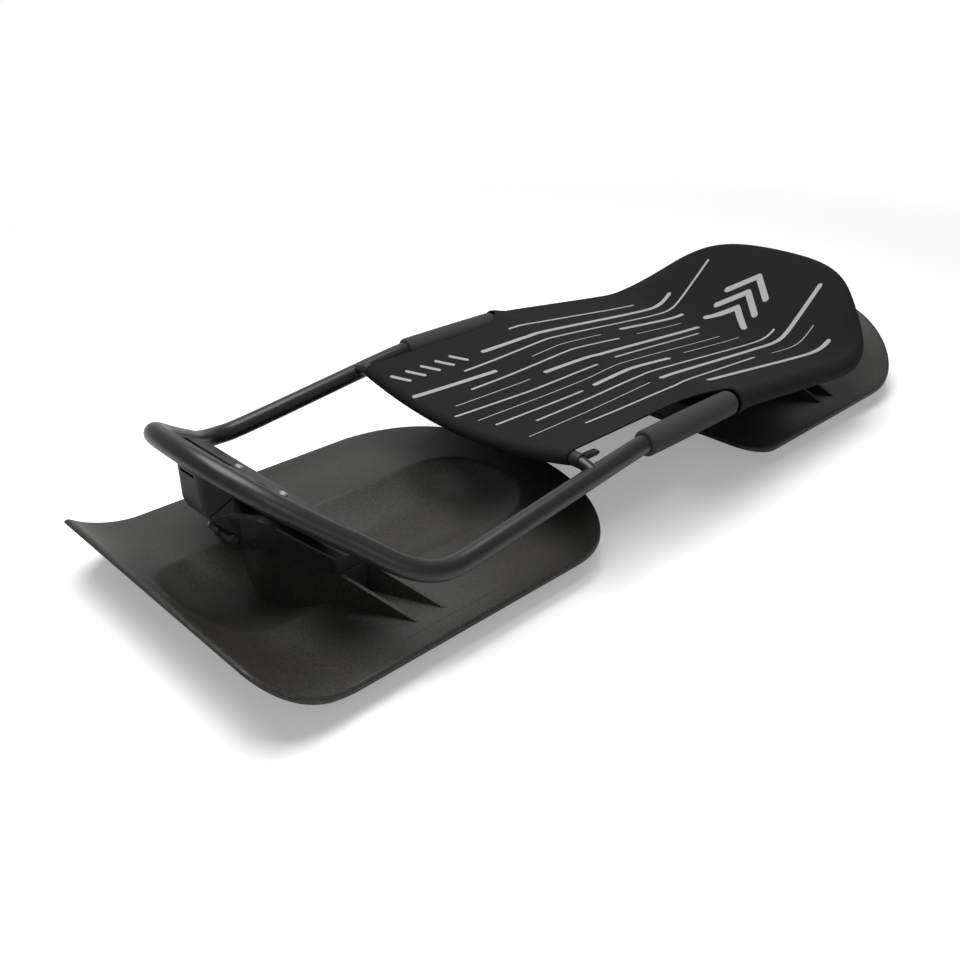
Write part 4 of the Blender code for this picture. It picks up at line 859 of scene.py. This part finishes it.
def rim_outline(width, nose, tail):
    """Half outline from the middle of the nose to the middle of the tail: a straight nose edge, a corner that
    is a quarter of an ellipse, a straight side and a rounded tail."""
    nose_y, corner_width, corner_length = nose
    tail_start, tail_y, power = tail
    start = nose_y + corner_length
    flat = np.linspace(0, width - corner_width, NOSE_STEPS + 1)[:-1]
    front = np.stack([flat, np.full(NOSE_STEPS, nose_y)], -1)
    corner = rounded(corner_width, start, -corner_length, 2, FRONT_SIDE - NOSE_STEPS)[::-1]
    corner[:, 0] += width - corner_width
    rear = rounded(width, tail_start, tail_y - tail_start, power, REAR_SIDE)
    return np.concatenate([front, corner, straight(width, start, tail_start), rear])


def trough_outline(trough, scale):
    """Half outline of the trough at a scale: 1 is its lip, smaller is further down. Both ends are rounded."""
    first, since, until, last = trough
    width, start = TROUGH * scale, since + FRONT_SLANT * (1 - scale)
    front = rounded(width, start, (first - since) * scale, TROUGH_ROUND, FRONT_SIDE)[::-1]
    rear = rounded(width, until, (last - until) * scale, TROUGH_ROUND, REAR_SIDE)
    return np.concatenate([front, straight(width, start, until), rear])


print("steps in each half outline", FRONT_SIDE + ALONG_SIDE + REAR_SIDE)

# %% [markdown]
# ## From outlines to a ski
# The rings go over the rim's round edge, across the wing, over the lip and down to the floor of the trough,
# whose height depends on the ring alone. Strips close the keel. Both ends are then bent up on their own arcs,
# which leaves the plan nearly as it was, and Solidify gives the wall.

# %% Ski surface
LIP, LIP_EASE, WALL_POWER, RIM_ROUND = 1.06, 0.0008, 1.5, 0.004
DOWN_TROUGH = (1.03, 1.0, 0.97, 0.93, 0.87, 0.80, 0.72, 0.64, 0.56, 0.48, 0.40, 0.30, 0.15, 0.03)


def trough_height(scale):
    """Height of the top in the trough: the floor, then a wall that steepens towards the lip, then the wing.
    The lip is eased: half the sum, less half the root of the difference squared and a small constant."""
    down = np.maximum(scale - FLOOR, 0) / (1 - FLOOR)
    wall = SKI_WALL + (WING - SKI_WALL) * down ** WALL_POWER
    return (wall + WING - np.sqrt((wall - WING) ** 2 + LIP_EASE ** 2)) / 2


def curl(points, curls):
    """Bend both ends up. Past the start of a curl the angle is the arc sine of the distance over the radius,
    and the height, taken from the rim's edge, is laid off towards the arc's centre."""
    x, y, z = points[..., 0], points[..., 1], points[..., 2]
    height = z - KEEL
    for (start, radius), way in zip(curls, (-1, 1)):
        past = (y - start) * way
        angle = np.arcsin(np.clip(past / radius, 0, 1))
        z = np.where(past > 0, KEEL + radius - (radius - height) * np.cos(angle), z)
        y = np.where(past > 0, start + way * (radius - height) * np.sin(angle), y)
    return np.stack([x, y, z], -1)


def ski_surface(width, nose, tail, trough, curls):
    """The rings of a ski, rim first, as a closed grid, with strips across the flat keel."""
    rim = rim_outline(width, nose, tail)
    centre = np.array([0, (tail[1] + nose[0]) / 2])
    half_size = np.array([width, (tail[1] - nose[0]) / 2])
    a = np.linspace(0, math.pi / 2, 6)
    steps = [(0.0, KEEL)] + list(zip(RIM_ROUND * (1 - np.cos(a)), WING - RIM_ROUND * (1 - np.sin(a))))
    rings = [np.column_stack([centre + (rim - centre) * (1 - inset / half_size), np.full(len(rim), z)])
             for inset, z in steps]
    inner = [np.column_stack([trough_outline(trough, scale), np.full(len(rim), trough_height(scale))])
             for scale in (LIP, *DOWN_TROUGH)]
    wing = [rings[-1] * (1 - share) + inner[0] * share for share in (0.12, 0.3, 0.5, 0.7, 0.87)]
    rings = np.stack(rings + wing + inner)
    whole = np.concatenate([rings, (rings * MIRROR)[:, -2:0:-1]], 1)
    points, faces = shell(curl(whole, curls), closed=True, caps=False)
    columns, last = whole.shape[1], (whole.shape[0] - 1) * whole.shape[1]
    k = np.arange(rings.shape[1] - 1)
    across = np.stack([k, k + 1, (columns - k - 1) % columns, (columns - k) % columns], -1) + last
    faces += [list(dict.fromkeys(face)) for face in across.tolist()]
    return points, faces


# Half width, nose (place, width and length of its corner), tail (start, end, power), trough (front end, the
# sides' two ends, rear end) and curls (start and radius, in front and behind).
skis = {
    "front": (0.210, (-0.627, 0.041, 0.066), (-0.242, -0.112, 2.3), (-0.605, -0.530, -0.232, -0.157),
              ((-0.532, 0.115), (-0.222, 0.30))),
    "rear": (0.206, (0.125, 0.040, 0.040), (0.438, 0.628, 2.1), (0.178, 0.253, 0.463, 0.538),
             ((0.165, 0.187), (0.438, 0.300))),
}
for end, values in skis.items():
    ski = piece(end + "_ski_moulding", ski_surface(*values), ski_plastic, end + "_steering")
    face_up(ski.data)
    modify(ski, "wall", "SOLIDIFY", thickness=SKI_WALL, offset=-1, use_even_offset=True)
    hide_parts(end + "_ski")

# %% [markdown]
# ## Ribs under the hangers
# Two bowed cross ribs carry the hanger and taper to the wings, like a bridge moulded on top of the ski. They
# could be cut out of a block, but with one formula for their line in plan, one for their top and one for the
# ski under them, each rib is four edges carried along x. Short walls join them at the hanger's ends.

# %% Ribs and their end walls
HANGER_HALF, RIB_REACH, RIB_WALL, RIB_SPACING = 0.097, 0.174, 0.004, 0.035
RIB_MIDDLE, RIB_DROP, LEDGE = 0.0843 - GAP, 0.018, 0.0005
RIB_FRONT, RIB_BOW, BOW_POWER = -0.010, 0.0314, 1.27
INTO_SKI, INTO_WING, INTO_TROUGH = SKI_WALL * 0.6, 0.002, 0.003


def rib_line(x, sweep):
    """The front rib in plan: bowed by a power of the distance under the hanger, straight outside it."""
    inner = np.minimum(np.abs(x) / HANGER_HALF, 1)
    return RIB_FRONT + RIB_BOW * inner ** BOW_POWER + np.maximum(np.abs(x) - HANGER_HALF, 0) * sweep


def rib_top(x):
    """Height of the ribs: it falls slowly to the hanger's ends, then faster to the wings."""
    heights = (RIB_MIDDLE, RIB_MIDDLE - RIB_DROP, WING + LEDGE)
    return np.interp(np.abs(x), (0, HANGER_HALF, RIB_REACH), heights)


def ski_top(x, y, trough):
    """Height of the ski's top at a place, before the ends are bent: the trough's height at the scale of the
    outline through that place."""
    first, since, until, last = trough
    behind = np.where(y > until, (y - until) / (last - until), 0)
    past = np.maximum(np.where(y < since, (since - y) / (since - first), behind), 0)
    scale = (np.abs(x / TROUGH) ** TROUGH_ROUND + past ** TROUGH_ROUND) ** (1 / TROUGH_ROUND)
    return trough_height(scale)


def bridge(trough, sweep, place_y, way):
    """Both ribs, set a little into the ski's top, and the walls between them, on the unit's own axes."""
    x = np.linspace(-RIB_REACH, RIB_REACH, 59)
    parts = []
    for offset in (0, RIB_SPACING):
        y = rib_line(x, sweep) + offset
        low = ski_top(x, place_y + way * y, trough) - INTO_SKI
        corners = [(y, low), (y, rib_top(x)), (y + RIB_WALL, rib_top(x)), (y + RIB_WALL, low)]
        parts.append(shell(np.stack([np.stack([x, a, b], -1) for a, b in corners], 1)))
    near = float(rib_line(HANGER_HALF - RIB_WALL / 2, sweep)) + RIB_WALL / 2
    high = float(rib_top(HANGER_HALF)) - LEDGE
    far, low = near + RIB_SPACING, WING - INTO_WING
    wall = [(near, low), (near, high), (far, high), (far, low)]
    return parts + [prism(wall, side * HANGER_HALF, side * (HANGER_HALF - RIB_WALL)) for side in (1, -1)]


# %% [markdown]
# ## Posts and hooked lug
# Round posts take the dowels, and a hooked lug reaches up to the latch pin. The pin lies in the lug's eye,
# and its thin waist fits through the throat above. The throat's edges meet the eye where a chord of its
# width cuts the circle, so the start of the arc is worked out.

# %% Posts and hooked lug
DOWEL_X, DOWEL_Y, POST_FOOT, POST_TOP = 0.062, 0.027, 0.009, 0.0075
EYE, THROAT, LUG_HALF = 0.0031, 0.0020, 0.004
LATCH_Z, LATCH_AHEAD, PIVOT_Y, HEAD_FRONT_Y = 0.1012, 0.023, -0.040, -0.072
RAKE = math.radians(22)


def post(side, trough, place_y, way):
    """A round post, from inside the ski's top to just under the rib's height there."""
    base = float(ski_top(np.array(DOWEL_X), np.array(place_y + way * DOWEL_Y), trough)) - INTO_TROUGH
    profile = [(POST_FOOT, base), (POST_TOP, float(rib_top(DOWEL_X + POST_FOOT)) - LEDGE)]
    return shell(turned(profile, (side * DOWEL_X, DOWEL_Y, 0), 2, 20))


def keyhole_lug(seam_z):
    """The hooked lug with its keyhole open at the top. The latch lies ahead of the raked kingpin, which
    crosses the sloping seam under the head at the pivot."""
    pivot_z = seam_z + (PIVOT_Y - HEAD_FRONT_Y) * math.tan(RAKE)
    y = PIVOT_Y + (pivot_z - LATCH_Z) * math.tan(RAKE) - LATCH_AHEAD
    start = math.atan2(math.sqrt(EYE ** 2 - THROAT ** 2), THROAT)
    a = np.linspace(start, start - (math.pi + 2 * start), 17)
    hole = np.stack([y + EYE * np.cos(a), LATCH_Z + EYE * np.sin(a)], -1)
    base, top, lip = RIB_MIDDLE - 0.0025, LATCH_Z + 0.0058, LATCH_Z + 0.003
    hook = [(y - THROAT, top), (y - 0.004, top), (y - 0.0058, lip), (y - 0.0058, LATCH_Z - 0.002),
            (y + 0.0005, base + 0.0035), (y + 0.009, base - 0.006), (-0.022, base - 0.009),
            (-0.008, base - 0.009), (-0.008, base), (y + 0.012, base), (y + 0.007, base + 0.005),
            (y + 0.007, lip), (y + 0.004, top), (y + THROAT, top)]
    return prism(np.concatenate([hole, hook]), -LUG_HALF, LUG_HALF)


# End, height of the seam, sweep of the ribs, place along the sled, and which way the unit faces.
UNITS = (("front", 0.131, 0.45, -0.492, 1), ("rear", 0.119, -0.04, REAR_Y, -1))
for end, seam_z, sweep, place_y, way in UNITS:
    trough = skis[end][3]
    parts = bridge(trough, sweep, place_y, way) + [keyhole_lug(seam_z)]
    points, faces = joined(parts + [post(side, trough, place_y, way) for side in (1, -1)])
    points = points * [way, way, 1] + [0, place_y, 0]
    ribs = piece(end + "_ski_ribs", (points, faces), ski_plastic, end + "_steering", smooth=30)
    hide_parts(end + "_ski")

# %% [markdown]
# ## Stage
# The sled stands on a pale floor that shows only its soft shadow. A white sheet would end in an edge, so the
# floor's alpha fades with the distance, and to the camera it glows a little, which brings it up to the white
# of the room behind it.

# %% Floor
FLOOR_HALF, FLOOR_Z, GLOW, FADES_AT = 3.0, -0.0005, 0.30, 2.0
floor_finish = bpy.data.materials.new("pale floor")
floor_finish.use_nodes = True
tree = floor_finish.node_tree
where = tree.nodes.new("ShaderNodeTexCoord").outputs["Object"]
away = vector_node(tree, "LENGTH", where).outputs["Value"]
seen = tree.nodes.new("ShaderNodeLightPath").outputs["Is Camera Ray"]
give(tree.nodes["Principled BSDF"], Base_Color=(0.9, 0.9, 0.9, 1), Roughness=0.9, Specular_IOR_Level=0.1,
     Emission_Color=(1, 1, 1, 1), Emission_Strength=math_node(tree, "MULTIPLY", seen, GLOW),
     Alpha=math_node(tree, "SUBTRACT", FADES_AT, away, clamp=True))
mesh = bpy.data.meshes.new("floor")
corners = [(x * FLOOR_HALF, y * FLOOR_HALF, FLOOR_Z) for x, y in ((-1, -1), (1, -1), (1, 1), (-1, 1))]
mesh.from_pydata(corners, [], [(0, 1, 2, 3)])
mesh.materials.append(floor_finish)
floor = placed("floor", mesh)
print("floor", FLOOR_HALF * 2, "m")

# %% [markdown]
# ## Room and lamps
# Black things are shaped by what they reflect. One big soft lamp above gives the long lights on the tubes
# and skis, and weak ones in front and behind open the shadows. An evenly white room would turn the black
# paint grey, so the Light Path node shows the room white to the camera, grey in reflections and dim as a
# light.

# %% Room and lamps
DIM, REFLECTED, SEEN = (0.12, 0.12, 0.122), (0.34, 0.34, 0.34), (1.0, 1.0, 1.0)
world = bpy.data.worlds.new("white room")
bpy.context.scene.world = world
world.use_nodes = True
background = give(world.node_tree.nodes["Background"], Color=(*DIM, 1), Strength=1.0)
rays = world.node_tree.nodes.new("ShaderNodeLightPath")
mix_over(background.inputs["Color"], rays.outputs["Is Glossy Ray"], REFLECTED)
mix_over(background.inputs["Color"], rays.outputs["Is Camera Ray"], SEEN)


def lamp(name, where, aim, size, power):
    """A rectangular lamp of a size in metres and a power in watts, turned to face a point."""
    data = bpy.data.lights.new(name, "AREA")
    data.shape = "RECTANGLE"
    data.size, data.size_y = size
    data.energy = power
    obj = placed(name, data)
    obj.location = where
    way = np.array(where) - np.array(aim)
    obj.rotation_euler = (math.atan2(math.hypot(way[0], way[1]), way[2]), 0, math.atan2(way[0], -way[1]))


lamp("top softbox", (-0.3, -0.3, 2.3), (0, 0, 0.1), (1.8, 1.6), 61)
lamp("front softbox", (1.7, -1.5, 1.4), (0, 0, 0.1), (1.1, 1.1), 6)
lamp("back softbox", (-2.0, 1.5, 1.2), (0, -0.2, 0.1), (3.0, 1.4), 7)
